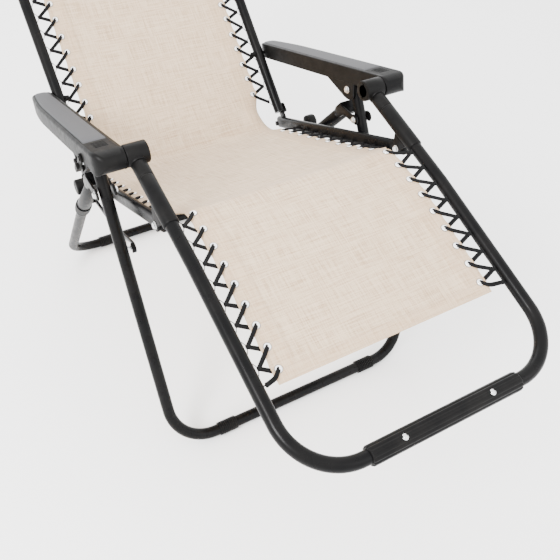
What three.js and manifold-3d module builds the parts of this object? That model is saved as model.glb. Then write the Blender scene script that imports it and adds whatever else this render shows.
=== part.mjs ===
// Zero gravity recliner: folding steel-tube lounge chair with a laced textile sling.
// Millimetres, +Z up. The sitter looks along -Y; the sitter's left hand is on the +X side.
// Side-view places are [y, z] pairs; the lateral place is always |x|, mirrored to both sides.
import * as THREE from 'three';
import { mergeVertices } from 'three/addons/utils/BufferGeometryUtils.js';
import Module from 'manifold-3d';

const wasm = await Module();
wasm.setup();

// ---- driving dimensions -------------------------------------------------------------------
const TUBE_R = 12.7;            // 25.4 mm round steel tube
const WIDE_TUBE_R = 15.9;       // swaged upper part of the rear legs
const GAP = 0.4;                // running gap between touching pieces
const PIN_R = 4;                // every pivot bolt is M8
const BASE_SHIFT_Y = 18;      // puts the middle of the whole chair's depth on the origin

const LEG_X = 311;              // plane of both leg frames
const BACK_X = 273.5;
const LEGREST_X = 267.5;
const RAIL_X = 269.5;
const SLEEVE_R = 15.9;           // floor sleeves stand the bars off the ground
const BAR_HEIGHT = 15.6;
const FRONT_BAR = [-376, BAR_HEIGHT];   // floor bar axes
const REAR_BAR = [370, BAR_HEIGHT];
const FOOT_BAR = [-788, 429];

const ARM_FRONT = [-168.5, 651.8];   // armrest to leg-rest pivot
const ARM_REAR = [326, 517.2];       // armrest to back pivot
const ARM_ON_LEG = [-56.5, 590.5];   // armrest to front-leg pivot
const FORK = [-91, 529];             // rear leg to front leg pivot
const HIP = [186.3, 382];            // back to seat-rail pivot
const KNEE = [-283, 572];            // seat-rail to leg-rest pivot
const HOOK_PIVOT = [95, 377];        // spreader hook on the rear leg
const HOOK_STUD = [-151, 421];       // stud on the front leg that the hook holds

const LEG_TUBE_TOP = [-168.5, 648];
const LEG_TUBE_BEND = [-412.5, 571];
const REAR_TUBE_TOP = [-40, 532.5];
const ELBOW = [117, 354];
const BACK_LENGTH = 790;        // hip pivot to the axis of the top bar
const BACK_ANGLE = 43.8 * Math.PI / 180;
const BACK_CORNER = 105;
const FRONT_CORNER = 92;
const REAR_CORNER = 82;
const FOOT_CORNER = 105;

const RAIL_SECTION = [15, 30];  // flattened tube, width by height
const RAIL_OUTER = RAIL_X + RAIL_SECTION[0] / 2;
const STRAP_OUTER = 290.4;      // |x| of the hinge strap's outer face
const ROLLER_S = 78.6;          // stop roller, measured along the rail from the hip
const ROLLER_R = 18.2;
const FABRIC_T = 4;
const EYELET_PITCH = 42.5;

const BLACK_STEEL = { color: 0x17171a, roughness: 0.32, metalness: 0.6 };
const BLACK_PLASTIC = { color: 0x232325, roughness: 0.55, metalness: 0.0 };
const PAD_PLASTIC = { color: 0x2b2b2d, roughness: 0.65, metalness: 0.0 };
const BRIGHT_ZINC = { color: 0xb9bcc0, roughness: 0.35, metalness: 1.0 };
const BEIGE_MESH = { color: 0xe1d5c3, roughness: 0.85, metalness: 0.0 };
const BLACK_ELASTIC = { color: 0x121214, roughness: 0.8, metalness: 0.0 };

// ---- side-view vector helpers ---------------------------------------------------------------
const add = (a, b, k = 1) => [a[0] + k * b[0], a[1] + k * b[1]];
const sub = (a, b) => [a[0] - b[0], a[1] - b[1]];
const length = (a) => Math.hypot(a[0], a[1]);
const unit = (a) => [a[0] / length(a), a[1] / length(a)];
const normal = (a) => [-a[1], a[0]];
const at = (x, p) => new THREE.Vector3(x, p[0], p[1]);

const backAlong = [Math.cos(BACK_ANGLE), Math.sin(BACK_ANGLE)];
const backFront = [-Math.sin(BACK_ANGLE), Math.cos(BACK_ANGLE)];   // towards the sitter
const railAlong = unit(sub(KNEE, HIP));
const railUp = [railAlong[1], -railAlong[0]];
const armAlong = unit(sub(ARM_REAR, ARM_FRONT));
const armUp = normal(armAlong);
const armPoint = (s, h) => add(add(ARM_FRONT, armAlong, s), armUp, h);
const frontLegAlong = unit(sub(ARM_ON_LEG, FRONT_BAR));
const rearLegAlong = unit(sub(ELBOW, REAR_TUBE_TOP));

// ---- solids ---------------------------------------------------------------------------------
function solid(geometry) {
  const bare = geometry.index ? geometry.toNonIndexed() : geometry.clone();
  bare.deleteAttribute('normal');
  bare.deleteAttribute('uv');
  const merged = mergeVertices(bare, 1e-4);
  return new wasm.Manifold(new wasm.Mesh({
    numProp: 3,
    vertProperties: Float32Array.from(merged.attributes.position.array),
    triVerts: Uint32Array.from(merged.index.array),
  }));
}

function geometryOf(body) {
  const mesh = body.getMesh();
  const geometry = new THREE.BufferGeometry();
  const corners = new Float32Array(mesh.triVerts.length * 3);
  mesh.triVerts.forEach((vertex, i) => {
    for (let k = 0; k < 3; k += 1) corners[3 * i + k] = mesh.vertProperties[vertex * mesh.numProp + k];
  });
  geometry.setAttribute('position', new THREE.BufferAttribute(corners, 3));
  geometry.computeVertexNormals();
  return geometry;
}

// A route of straight runs joined by arcs; its stations are the only places it is sampled at.
class RoundedRoute extends THREE.Curve {
  constructor(corners, radii, arcSteps = 6) {
    super();
    this.stations = [corners[0]];
    this.tangents = [];
    for (let i = 1; i < corners.length - 1; i += 1) {
      const into = corners[i].clone().sub(corners[i - 1]).normalize();
      const out = corners[i + 1].clone().sub(corners[i]).normalize();
      const turn = into.angleTo(out);
      const radius = radii[i - 1];
      const reach = radius * Math.tan(turn / 2);
      const inward = out.clone().addScaledVector(into, -out.dot(into)).normalize();
      const start = corners[i].clone().addScaledVector(into, -reach);
      for (let k = 0; k <= arcSteps; k += 1) {
        const angle = turn * k / arcSteps;
        this.stations.push(start.clone()
          .addScaledVector(into, radius * Math.sin(angle))
          .addScaledVector(inward, radius * (1 - Math.cos(angle))));
      }
    }
    this.stations.push(corners.at(-1));
    this.tangents = this.stations.map((point, i) => {
      const before = this.stations[Math.max(i - 1, 0)];
      const after = this.stations[Math.min(i + 1, this.stations.length - 1)];
      const first = point.clone().sub(before).normalize();
      const second = after.clone().sub(point).normalize();
      return first.add(second).normalize();
    });
    this.steps = this.stations.length - 1;
  }

  getPoint(t) {
    return this.stations[Math.round(t * this.steps)].clone();
  }

  getPointAt(t) {
    return this.getPoint(t);
  }

  getTangentAt(t) {
    return this.tangents[Math.round(t * this.steps)].clone();
  }
}

function ringShape(radius, sides = 12) {
  const points = [];
  for (let i = 0; i < sides; i += 1) {
    const angle = 2 * Math.PI * (i + 0.5) / sides;
    points.push(new THREE.Vector2(radius * Math.cos(angle), radius * Math.sin(angle)));
  }
  return new THREE.Shape(points);
}

function tube(corners, radii, radius, sides = 12, arcSteps = 6) {
  const route = new RoundedRoute(corners, radii, arcSteps);
  return new THREE.ExtrudeGeometry(ringShape(radius, sides), {
    extrudePath: route, steps: route.steps, bevelEnabled: false,
  });
}

// A bar along X from x0 to x1 whose outline is given in side view.
function slab(outline, x0, x1, holes = []) {
  const shape = new THREE.Shape(outline.map((p) => new THREE.Vector2(p[0], p[1])));
  holes.forEach((hole) => shape.holes.push(new THREE.Path(hole.map((p) => new THREE.Vector2(p[0], p[1])))));
  const geometry = new THREE.ExtrudeGeometry(shape, { depth: Math.abs(x1 - x0), bevelEnabled: false });
  geometry.applyMatrix4(new THREE.Matrix4().makeBasis(
    new THREE.Vector3(0, 1, 0), new THREE.Vector3(0, 0, 1), new THREE.Vector3(1, 0, 0)));
  return geometry.translate(Math.min(x0, x1), 0, 0);
}

function circle(centre, radius, sides = 16, from = 0, to = 360) {
  const full = to - from >= 360;
  const count = full ? sides : sides + 1;
  return Array.from({ length: count }, (_, i) => {
    const angle = (from + (to - from) * i / sides) * Math.PI / 180;
    return [centre[0] + radius * Math.cos(angle), centre[1] + radius * Math.sin(angle)];
  });
}

const disc = (centre, radius, x0, x1, sides = 12) => slab(circle(centre, radius, sides), x0, x1);

// A strap outline: round ends about two centres, straight sides between them.
function strap(a, b, radiusA, radiusB = radiusA, sides = 6) {
  const heading = Math.atan2(b[1] - a[1], b[0] - a[0]) * 180 / Math.PI;
  return [
    ...circle(a, radiusA, sides, heading + 90, heading + 270),
    ...circle(b, radiusB, sides, heading - 90, heading + 90),
  ];
}

const join = (...parts) => parts.map(solid).reduce((a, b) => a.add(b));
const cut = (body, ...tools) => tools.map(solid).reduce((a, b) => a.subtract(b), body);

// ---- the scene ------------------------------------------------------------------------------
const chair = new THREE.Group();
chair.name = 'zero_gravity_recliner';
chair.position.y = BASE_SHIFT_Y;

const materials = new Map();
function materialOf(finish) {
  if (!materials.has(finish)) materials.set(finish, new THREE.MeshStandardMaterial(finish));
  return materials.get(finish);
}

function place(name, shape, finish) {
  const geometry = shape.isBufferGeometry ? shape : geometryOf(shape);
  const mesh = new THREE.Mesh(geometry, materialOf(finish));
  mesh.name = name;
  chair.add(mesh);
}

const SIDES = [['left', 1], ['right', -1]];
function onBothSides(build) {
  SIDES.forEach(([side, sign]) => build(side, sign));
}

// ---- leg frames -----------------------------------------------------------------------------
function frontLegFrame() {
  const top = add(ARM_ON_LEG, frontLegAlong, 17);
  const frame = solid(tube(
    [at(LEG_X, top), at(LEG_X, FRONT_BAR), at(-LEG_X, FRONT_BAR), at(-LEG_X, top)],
    [FRONT_CORNER, FRONT_CORNER], TUBE_R));
  const holes = SIDES.flatMap(([, sign]) => [ARM_ON_LEG, FORK].map(
    (pivot) => disc(pivot, PIN_R + GAP, sign * (LEG_X - 20), sign * (LEG_X + 20))));
  place('front_leg_frame', cut(frame, ...holes), BLACK_STEEL);
}

function rearLegFrame() {
  const start = add(ELBOW, unit(sub(REAR_BAR, ELBOW)), 6);
  place('rear_leg_frame', tube(
    [at(LEG_X, start), at(LEG_X, REAR_BAR), at(-LEG_X, REAR_BAR), at(-LEG_X, start)],
    [REAR_CORNER, REAR_CORNER], TUBE_R), BLACK_STEEL);
  onBothSides((side, sign) => {
    const x = sign * LEG_X;
    const lowerAlong = unit(sub(REAR_BAR, ELBOW));
    place(`rear_leg_upper_tube_${side}`,
      tube([at(x, REAR_TUBE_TOP), at(x, add(ELBOW, rearLegAlong, -4))], [], WIDE_TUBE_R), BLACK_STEEL);
    const collar = solid(tube([at(x, add(ELBOW, rearLegAlong, -16)), at(x, ELBOW),
      at(x, add(ELBOW, lowerAlong, 26))], [60], WIDE_TUBE_R + 2.6, 16, 2));
    const upperSeat = tube([at(x, add(ELBOW, rearLegAlong, -40)), at(x, add(ELBOW, rearLegAlong, -3))],
      [], WIDE_TUBE_R + GAP, 16);
    const lowerSeat = tube([at(x, add(ELBOW, lowerAlong, 5)), at(x, add(ELBOW, lowerAlong, 60))],
      [], TUBE_R + GAP, 16);
    place(`rear_leg_elbow_${side}`, cut(collar, upperSeat, lowerSeat), BLACK_STEEL);
  });
}

function forks() {
  onBothSides((side, sign) => {
    const tubeEnd = add(REAR_TUBE_TOP, rearLegAlong, -GAP);
    const crownEnd = add(tubeEnd, rearLegAlong, -5);
    const across = normal(rearLegAlong);
    const cheek = [
      ...circle(FORK, 13, 8, 120, 300),
      add(add(tubeEnd, rearLegAlong, 30), across, -15),
      add(add(tubeEnd, rearLegAlong, 36), across, 0),
      add(add(tubeEnd, rearLegAlong, 30), across, 15),
      add(crownEnd, across, 16.5),
    ];
    const crown = [add(crownEnd, across, -15), add(tubeEnd, across, -15),
      add(tubeEnd, across, 15.5), add(crownEnd, across, 15.5)];
    const inner = slab(cheek, sign * 290, sign * 294.6);
    const outer = slab(cheek, sign * 327.4, sign * 332);
    const bridge = slab(crown, sign * 291, sign * 331);
    const hole = disc(FORK, PIN_R + GAP, sign * 285, sign * 337);
    place(`rear_leg_fork_${side}`, cut(join(inner, outer, bridge), hole), BLACK_STEEL);
    pivotBolt(`fork_bolt_${side}`, FORK, sign, 290 - GAP, 332 + GAP, 7, BRIGHT_ZINC);
  });
}

// A bolt along X whose heads sit just outside |x| = inner and |x| = outer.
function pivotBolt(name, centre, sign, inner, outer, headR, finish, headT = 4, shankR = PIN_R) {
  const shank = disc(centre, shankR, sign * (inner - 1), sign * (outer + 1));
  const heads = [[inner - headT, inner], [outer, outer + headT]].map(
    ([a, b]) => disc(centre, headR, sign * a, sign * b));
  place(name, join(shank, ...heads), finish);
}

function floorSleeves() {
  const rings = 5;
  const pitch = 9;
  [['front', FRONT_BAR, 190], ['rear', REAR_BAR, 203]].forEach(([name, bar, centreX]) => {
    onBothSides((side, sign) => {
      const profile = [new THREE.Vector2(TUBE_R + GAP, 0), new THREE.Vector2(14.8, 0)];
      for (let i = 0; i < rings; i += 1) {
        const from = i * pitch + 1;
        profile.push(new THREE.Vector2(SLEEVE_R, from), new THREE.Vector2(SLEEVE_R, from + 6),
          new THREE.Vector2(14.8, from + 7.4));
      }
      profile.push(new THREE.Vector2(TUBE_R + GAP, rings * pitch));
      profile.push(profile[0].clone());
      const facets = 16;
      const sleeve = new THREE.LatheGeometry(profile, facets, Math.PI / facets);
      sleeve.rotateZ(-Math.PI / 2);
      sleeve.translate(sign * centreX - rings * pitch / 2, bar[0], bar[1]);
      place(`${name}_floor_sleeve_${side}`, sleeve, BLACK_PLASTIC);
    });
  });
}

function spreaderHooks() {
  const chord = sub(HOOK_STUD, HOOK_PIVOT);
  const along = unit(chord);
  const down = normal(along);
  const span = length(chord);
  const heading = Math.atan2(along[1], along[0]) * 180 / Math.PI;
  const studR = 5;
  const mouthR = studR + 2.5;
  const lipWidth = 5;
  const stations = 8;
  const bladeInner = 283.4;       // |x|; the blade passes the stud on its inboard side
  const bladeOuter = 287.6;
  const lipOuter = 292.6;
  // the blade bows down between its ends and runs on over the top of the stud
  const edge = (i, side) => {
    const part = i / stations;
    const middle = 9 * Math.sin(Math.PI * part) - (mouthR + lipWidth / 2) * part ** 2;
    const halfWidth = 6.5 - 3.5 * part;
    return add(add(HOOK_PIVOT, along, span * part), down, middle + side * halfWidth);
  };
  const inside = Array.from({ length: stations - 1 }, (_, i) => i + 1);
  const lipOutline = [
    ...circle(HOOK_STUD, mouthR + lipWidth, 8, heading - 80, heading + 40),
    ...circle(HOOK_STUD, mouthR, 8, heading - 80, heading + 40).reverse(),
  ];
  const outline = [
    ...circle(HOOK_PIVOT, 10, 8, heading + 90, heading - 90 + 360),
    ...inside.map((i) => edge(i, -1)),
    ...lipOutline,
    ...inside.slice().reverse().map((i) => edge(i, 1)),
  ];
  onBothSides((side, sign) => {
    const blade = slab(outline, sign * bladeInner, sign * bladeOuter);
    const lip = slab(lipOutline, sign * (bladeOuter - 1), sign * lipOuter);
    const rivet = disc(HOOK_PIVOT, 5, sign * (bladeInner - 1), sign * (LEG_X - WIDE_TUBE_R - GAP));
    place(`spreader_hook_${side}`, join(blade, lip, rivet), BLACK_STEEL);
    const stud = disc(HOOK_STUD, studR, sign * (bladeOuter + GAP), sign * (LEG_X - TUBE_R - GAP));
    place(`spreader_stud_${side}`, stud, BRIGHT_ZINC);
  });
}

// ---- back -----------------------------------------------------------------------------------
const backPoint = (s, offset = 0) => add(add(HIP, backAlong, s), backFront, offset);
const railPoint = (s, offset = 0) => add(add(HIP, railAlong, s), railUp, offset);

function backFrame() {
  const frame = solid(tube(
    [at(BACK_X, backPoint(28.4)), at(BACK_X, backPoint(BACK_LENGTH)),
      at(-BACK_X, backPoint(BACK_LENGTH)), at(-BACK_X, backPoint(28.4))],
    [BACK_CORNER, BACK_CORNER], TUBE_R));
  const holes = SIDES.map(([, sign]) => disc(ARM_REAR, PIN_R + GAP, sign * 255, sign * 292));
  place('back_frame', cut(frame, ...holes), BLACK_STEEL);
  onBothSides((side, sign) => {
    const foot = circle(HIP, 13, 8, 130, 310);
    const lower = [...foot, backPoint(28, -11), backPoint(28, 11)];
    const upper = [backPoint(23.5, 11), backPoint(23.5, -11), ...circle(backPoint(50), 10, 6, -46, 134)];
    const knuckle = [backPoint(23.5, -11), backPoint(28, -11), backPoint(28, 11), backPoint(23.5, 11)];
    const plate = join(
      slab(lower, sign * (RAIL_OUTER + GAP), sign * (RAIL_OUTER + 4.6)),
      slab(knuckle, sign * (RAIL_OUTER + GAP), sign * STRAP_OUTER),
      slab(upper, sign * (BACK_X + TUBE_R + GAP), sign * STRAP_OUTER),
      disc(backPoint(46), 5.5, sign * (STRAP_OUTER - 1), sign * (STRAP_OUTER + 1.6)),
    );
    const hole = disc(HIP, PIN_R + GAP, sign * 250, sign * 296);
    place(`back_hinge_strap_${side}`, cut(plate, hole), BLACK_STEEL);
    const shank = disc(HIP, PIN_R, sign * 257, sign * 284);
    const nut = disc(HIP, 7, sign * 257.2, sign * (RAIL_X - RAIL_SECTION[0] / 2 - GAP), 6);
    const head = disc(HIP, 8.5, sign * (RAIL_OUTER + 4.6 + GAP), sign * 286.6);
    place(`hip_pivot_bolt_${side}`, join(shank, nut, head), BLACK_PLASTIC);
    const bolt = disc(ARM_REAR, PIN_R, sign * 254, sign * 298);
    const nub = disc(ARM_REAR, 6.5, sign * 250, sign * (BACK_X - TUBE_R - GAP));
    place(`armrest_rear_bolt_${side}`, join(bolt, nub), BLACK_PLASTIC);
  });
}

// ---- seat rails -----------------------------------------------------------------------------
function seatRails() {
  const [width, height] = RAIL_SECTION;
  const railLength = length(sub(KNEE, HIP));
  const flat = height / 2 - width / 2;
  const section = new THREE.Shape([
    ...circle([0, flat], width / 2, 6, 0, 180),
    ...circle([0, -flat], width / 2, 6, 180, 360),
  ].map((p) => new THREE.Vector2(p[0], p[1])));
  onBothSides((side, sign) => {
    const bar = new THREE.ExtrudeGeometry(section, { depth: railLength + 28, bevelEnabled: false });
    bar.applyMatrix4(new THREE.Matrix4().makeBasis(
      new THREE.Vector3(1, 0, 0), at(0, railUp), at(0, railAlong)));
    const start = railPoint(-14);
    bar.translate(sign * RAIL_X, start[0], start[1]);
    const holes = [HIP, KNEE].map((pivot) => disc(pivot, PIN_R + GAP, sign * 255, sign * 285));
    place(`seat_rail_${side}`, cut(solid(bar), ...holes), BLACK_STEEL);
    const axle = disc(railPoint(ROLLER_S), 6, sign * (RAIL_OUTER + GAP), sign * 302);
    const roller = disc(railPoint(ROLLER_S), ROLLER_R, sign * 300, sign * 322, 20);
    place(`stop_roller_${side}`, join(axle, roller), BLACK_PLASTIC);
    pivotBolt(`knee_bolt_${side}`, KNEE, sign, 257 - GAP, 282 + GAP, 7, BRIGHT_ZINC);
  });
}

// ---- leg rest -------------------------------------------------------------------------------
const shinAlong = unit(sub(FOOT_BAR, LEG_TUBE_BEND));
const thighAlong = unit(sub(LEG_TUBE_BEND, LEG_TUBE_TOP));
const THIGH_SLEEVE_R = 15.4;
const BARREL_R = 21.5;
const BARREL_BOLT_R = 7.5;

function legRest() {
  const top = add(LEG_TUBE_TOP, thighAlong, 9);
  place('legrest_frame', tube([
    at(LEGREST_X, top), at(LEGREST_X, LEG_TUBE_BEND), at(LEGREST_X, FOOT_BAR),
    at(-LEGREST_X, FOOT_BAR), at(-LEGREST_X, LEG_TUBE_BEND), at(-LEGREST_X, top),
  ], [150, FOOT_CORNER, FOOT_CORNER, 150], TUBE_R), BLACK_STEEL);
  onBothSides((side, sign) => {
    const x = sign * LEGREST_X;
    const foot = sub(KNEE, LEG_TUBE_TOP);
    const along = foot[0] * thighAlong[0] + foot[1] * thighAlong[1];
    const middle = add(LEG_TUBE_TOP, thighAlong, along);
    const sleeveEnds = [add(LEG_TUBE_TOP, thighAlong, 23), add(middle, thighAlong, 34)];
    const sleeve = tube(sleeveEnds.map((p) => at(x, p)), [], THIGH_SLEEVE_R, 16);
    const bore = tube([at(x, add(LEG_TUBE_TOP, thighAlong, 4)), at(x, add(middle, thighAlong, 50))],
      [], TUBE_R + GAP, 16);
    const lug = [...circle(KNEE, 13, 8, 160, 340), add(middle, thighAlong, -24), add(middle, thighAlong, 24)];
    const cheeks = [[257, 261.2], [277.8, 282]].map(([a, b]) => slab(lug, sign * a, sign * b));
    const hole = disc(KNEE, PIN_R + GAP, sign * 250, sign * 290);
    place(`knee_sleeve_${side}`, cut(join(sleeve, ...cheeks), bore, hole), BLACK_PLASTIC);

    const barrel = solid(disc(ARM_FRONT, BARREL_R, sign * 243, sign * (288 - GAP), 20));
    const socket = tube([at(x, add(LEG_TUBE_TOP, thighAlong, 8)), at(x, add(LEG_TUBE_TOP, thighAlong, 60))],
      [], TUBE_R + GAP, 16);
    const pinHole = disc(ARM_FRONT, PIN_R + GAP, sign * 240, sign * 290);
    const recess = disc(ARM_FRONT, 11, sign * 242, sign * 249.5);
    place(`leg_top_barrel_${side}`, cut(barrel, socket, pinHole, recess), BLACK_PLASTIC);
    const shank = disc(ARM_FRONT, PIN_R, sign * 246, sign * 318);
    const head = disc(ARM_FRONT, BARREL_BOLT_R, sign * 244.5, sign * (249.5 - GAP), 6);
    place(`barrel_bolt_${side}`, join(shank, head), BRIGHT_ZINC);
  });
  footGrip();
}

function footGrip() {
  const halfLength = 155;
  const ribs = 14;
  const outline = [];
  for (let i = 0; i < ribs * 2; i += 1) {
    const angle = Math.PI * i / ribs;
    const radius = i % 2 ? 16.1 : 17.3;
    outline.push([FOOT_BAR[0] + radius * Math.cos(angle), FOOT_BAR[1] + radius * Math.sin(angle)]);
  }
  const sheath = slab(outline, -halfLength, halfLength, [circle(FOOT_BAR, TUBE_R + GAP, 16).reverse()]);
  const lift = unit(normal(shinAlong).map((value) => -value));
  const screwX = 91;
  const seats = [];
  onBothSides((side, sign) => {
    const headBase = add(FOOT_BAR, lift, 15.4);
    const headTop = add(FOOT_BAR, lift, 18.6);
    const x = sign * screwX;
    seats.push(tube([at(x, headBase), at(x, add(FOOT_BAR, lift, 24))], [], 5.6, 12));
    place(`foot_grip_screw_${side}`,
      tube([at(x, add(headBase, lift, GAP)), at(x, headTop)], [], 5, 12), BRIGHT_ZINC);
  });
  place('foot_grip', cut(solid(sheath), ...seats), BLACK_PLASTIC);
}

// ---- armrests -------------------------------------------------------------------------------
const ARM_INNER = 288;
const ARM_OUTER = 348;
const ARM_LENGTH = 541;         // front pivot to the rear tip
const ARM_TOP = 22;
const ARM_BOTTOM = -14;
const PAD_RECESS = 3;

// Plan outline of the armrest, set in from its edge: s runs rearwards, x sideways.
function armPlan(inset, front, sign) {
  const rear = ARM_LENGTH - inset;
  const inner = ARM_INNER + inset;
  const outer = ARM_OUTER - inset;
  const points = [[front, inner], [rear - 26, inner], [rear - 8, inner + 7], [rear, inner + 19],
    [rear - 6, outer - 17], [rear - 60, outer - 6], [rear - 150, outer], [front, outer]];
  return points.map(([s, x]) => [s, sign * x]);
}

function planPrism(points, low, high) {
  const shape = new THREE.Shape(points.map(([s, x]) => new THREE.Vector2(s, -x)));
  const prism = new THREE.ExtrudeGeometry(shape, { depth: high - low, bevelEnabled: false });
  prism.applyMatrix4(new THREE.Matrix4().makeBasis(
    at(0, armAlong), new THREE.Vector3(-1, 0, 0), at(0, armUp)));
  const base = armPoint(0, low);
  return prism.translate(0, base[0], base[1]);
}

function armrests() {
  const profile = [
    ...circle([0, 0], 22, 12, 90, 270),
    [60, -24], [98, -44], [112, -51], [126, -52], [140, -47], [204, ARM_BOTTOM],
    [ARM_LENGTH - 30, ARM_BOTTOM], [ARM_LENGTH - 4, -7], [ARM_LENGTH, 4], [ARM_LENGTH - 4, 15],
    [ARM_LENGTH - 16, ARM_TOP],
  ].map(([s, h]) => armPoint(s, h));
  onBothSides((side, sign) => {
    const block = solid(slab(profile, sign * ARM_INNER, sign * ARM_OUTER));
    const plan = solid(planPrism(armPlan(0, -40, sign), -80, 40));
    const finOutside = slab([[-40, -90], [300, -90], [300, -17], [40, -20], [-40, -24]].map(
      ([s, h]) => armPoint(s, h)), sign * 336, sign * 360);
    const finInside = slab([[30, -90], [104, -90], [101, -16], [62, -20], [30, -24]].map(
      ([s, h]) => armPoint(s, h)), sign * 286, sign * 297);
    const channel = slab([[84, -80], [175, -80], [168, -12], [92, -5]].map(([s, h]) => armPoint(s, h)),
      sign * 296.8, sign * 325.2);
    const pocket = planPrism(armPlan(7, 66, sign), ARM_TOP - PAD_RECESS, ARM_TOP + 10);
    const legPin = disc(ARM_ON_LEG, PIN_R + GAP, sign * 280, sign * 345);
    const frontPin = disc(ARM_FRONT, PIN_R + GAP, sign * 280, sign * 320);
    const rearPin = disc(ARM_REAR, PIN_R + 2.6, sign * 280, sign * 301);
    const leverPin = disc(armPoint(74, -6), PIN_R, sign * 338, sign * 360);
    const lightening = slab([[215, -30], [500, -30], [490, 12], [215, 12]].map(
      ([s, h]) => armPoint(s, h)), sign * (ARM_INNER + 3.5), sign * (ARM_OUTER - 14));
    place(`armrest_shell_${side}`,
      cut(block.intersect(plan), finOutside, finInside, channel, pocket,
        legPin, frontPin, rearPin, leverPin, lightening),
      BLACK_PLASTIC);
    place(`armrest_pad_${side}`,
      planPrism(armPlan(7.5, 66.5, sign), ARM_TOP - PAD_RECESS + GAP, ARM_TOP + 2.2), PAD_PLASTIC);
    pivotBolt(`armrest_leg_bolt_${side}`, ARM_ON_LEG, sign, ARM_INNER - GAP, 336 + GAP, 7.5, BRIGHT_ZINC);
    lockLever(side, sign);
  });
}

function lockLever(side, sign) {
  const pivot = armPoint(74, -6);
  const tip = armPoint(104, -35);
  const inside = ARM_OUTER + GAP;
  const blade = slab(strap(pivot, tip, 9, 6), sign * inside, sign * (inside + 4));
  const pin = disc(pivot, PIN_R - 0.5, sign * 341, sign * (inside + 1));
  const thumbStart = add(pivot, sub(tip, pivot), 0.72);
  const thumb = slab(strap(thumbStart, tip, 6.5, 6), sign * (inside + 3), sign * (inside + 10));
  place(`lock_lever_${side}`, join(blade, pin, thumb), BLACK_PLASTIC);
}

// ---- sling and its lacing ---------------------------------------------------------------------
// A panel follows side-view points at its mid-thickness.
function panel(name, points, halfWidth, thickness = FABRIC_T) {
  const offsets = points.map((point, i) => {
    const before = points[Math.max(i - 1, 0)];
    const after = points[Math.min(i + 1, points.length - 1)];
    return normal(unit(sub(after, before)));
  });
  const top = points.map((p, i) => add(p, offsets[i], thickness / 2));
  const bottom = points.map((p, i) => add(p, offsets[i], -thickness / 2)).reverse();
  place(name, slab([...bottom, ...top], -halfWidth, halfWidth), BEIGE_MESH);
}

const SLING_LEG = [
  [-634, 475], [-574, 501], [-495, 532.5], [-418, 561.5], [-339, 581], [-308, 587], [-291, 586.5],
];
const SLING_SEAT_S = [[493, 6], [470, -2], [440, -7], [380, -9], [200, -9], [60, -9], [14, -8]];
const SLING_BACK_S = [[15, -4], [60, -4], [300, -3], [BACK_LENGTH - 90, -3]];

function sling() {
  panel('sling_leg_panel', SLING_LEG, 228);
  panel('sling_seat_panel', SLING_SEAT_S.map(([s, h]) => railPoint(s, h)).reverse(), 246);
  panel('sling_back_panel', SLING_BACK_S.map(([s, h]) => backPoint(s, h)), 228);
}

// One elastic lace that runs to and fro between the sling's edge and the tube beside it.
function lace(name, start, end, clothX, tubeX) {
  const run = sub(end, start);
  const count = Math.round(length(run) / EYELET_PITCH);
  onBothSides((side, sign) => {
    const corners = [];
    for (let i = 0; i <= count; i += 1) {
      corners.push(at(sign * clothX, add(start, run, i / count)));
      if (i < count) corners.push(at(sign * tubeX, add(start, run, (i + 0.5) / count)));
    }
    place(`${name}_${side}`, tube(corners, corners.slice(2).map(() => 2.6), 2.2, 6, 1), BLACK_ELASTIC);
  });
}

function lacing() {
  lace('leg_lacing', [-640, 499], [-318, 587], 232.5, 250.5);
  lace('seat_lacing', railPoint(440, -8), railPoint(45, -9), 250, 258.2);
  lace('back_lacing', backPoint(71, -3), backPoint(BACK_LENGTH - 110, -3), 232.5, 256);
}

function headrest() {
  const [halfWidth, reach, thick] = [180, 85, 52];
  const centre = backPoint(BACK_LENGTH - 165, thick / 2 + 3);
  const corner = 22;
  const outline = [];
  [[1, 1, 0], [-1, 1, 90], [-1, -1, 180], [1, -1, 270]].forEach(([s, h, from]) => {
    circle([s * (reach - corner), h * (thick / 2 - corner)], corner, 4, from, from + 90).forEach((p) => {
      outline.push(add(add(centre, backAlong, p[0]), backFront, p[1]));
    });
  });
  place('headrest_pillow', slab(outline, -halfWidth, halfWidth), BEIGE_MESH);
}

frontLegFrame();
rearLegFrame();
forks();
floorSleeves();
spreaderHooks();
backFrame();
seatRails();
legRest();
armrests();
sling();
lacing();
headrest();

export default chair;
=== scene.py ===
"""Looks of a zero gravity recliner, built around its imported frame.

Metres, +Z up, +Y towards the head end, +X to the sitter's left.
"""

import logging
import math
from dataclasses import dataclass, field
from enum import Enum
from typing import Callable, Iterable, Sequence

import bmesh
import bpy
import numpy as np
from mathutils import Matrix, Vector

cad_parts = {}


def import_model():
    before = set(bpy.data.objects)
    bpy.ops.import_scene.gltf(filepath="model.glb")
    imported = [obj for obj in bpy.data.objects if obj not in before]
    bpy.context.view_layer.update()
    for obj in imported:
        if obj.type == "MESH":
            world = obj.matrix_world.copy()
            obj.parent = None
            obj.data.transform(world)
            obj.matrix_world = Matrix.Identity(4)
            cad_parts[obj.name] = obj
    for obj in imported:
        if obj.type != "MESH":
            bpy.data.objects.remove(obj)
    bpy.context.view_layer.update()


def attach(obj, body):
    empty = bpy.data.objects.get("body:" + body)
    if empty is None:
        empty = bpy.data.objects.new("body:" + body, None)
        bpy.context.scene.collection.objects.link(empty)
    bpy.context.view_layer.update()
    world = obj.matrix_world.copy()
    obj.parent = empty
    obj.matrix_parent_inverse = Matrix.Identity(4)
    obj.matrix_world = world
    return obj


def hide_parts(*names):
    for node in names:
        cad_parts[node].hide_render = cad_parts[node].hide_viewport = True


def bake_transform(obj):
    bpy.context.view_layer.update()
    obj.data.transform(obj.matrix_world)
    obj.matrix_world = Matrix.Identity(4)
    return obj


LOG = logging.getLogger("recliner")

Point2 = tuple[float, float]
Array = np.ndarray


# ---- names ---------------------------------------------------------------------------------


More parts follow.
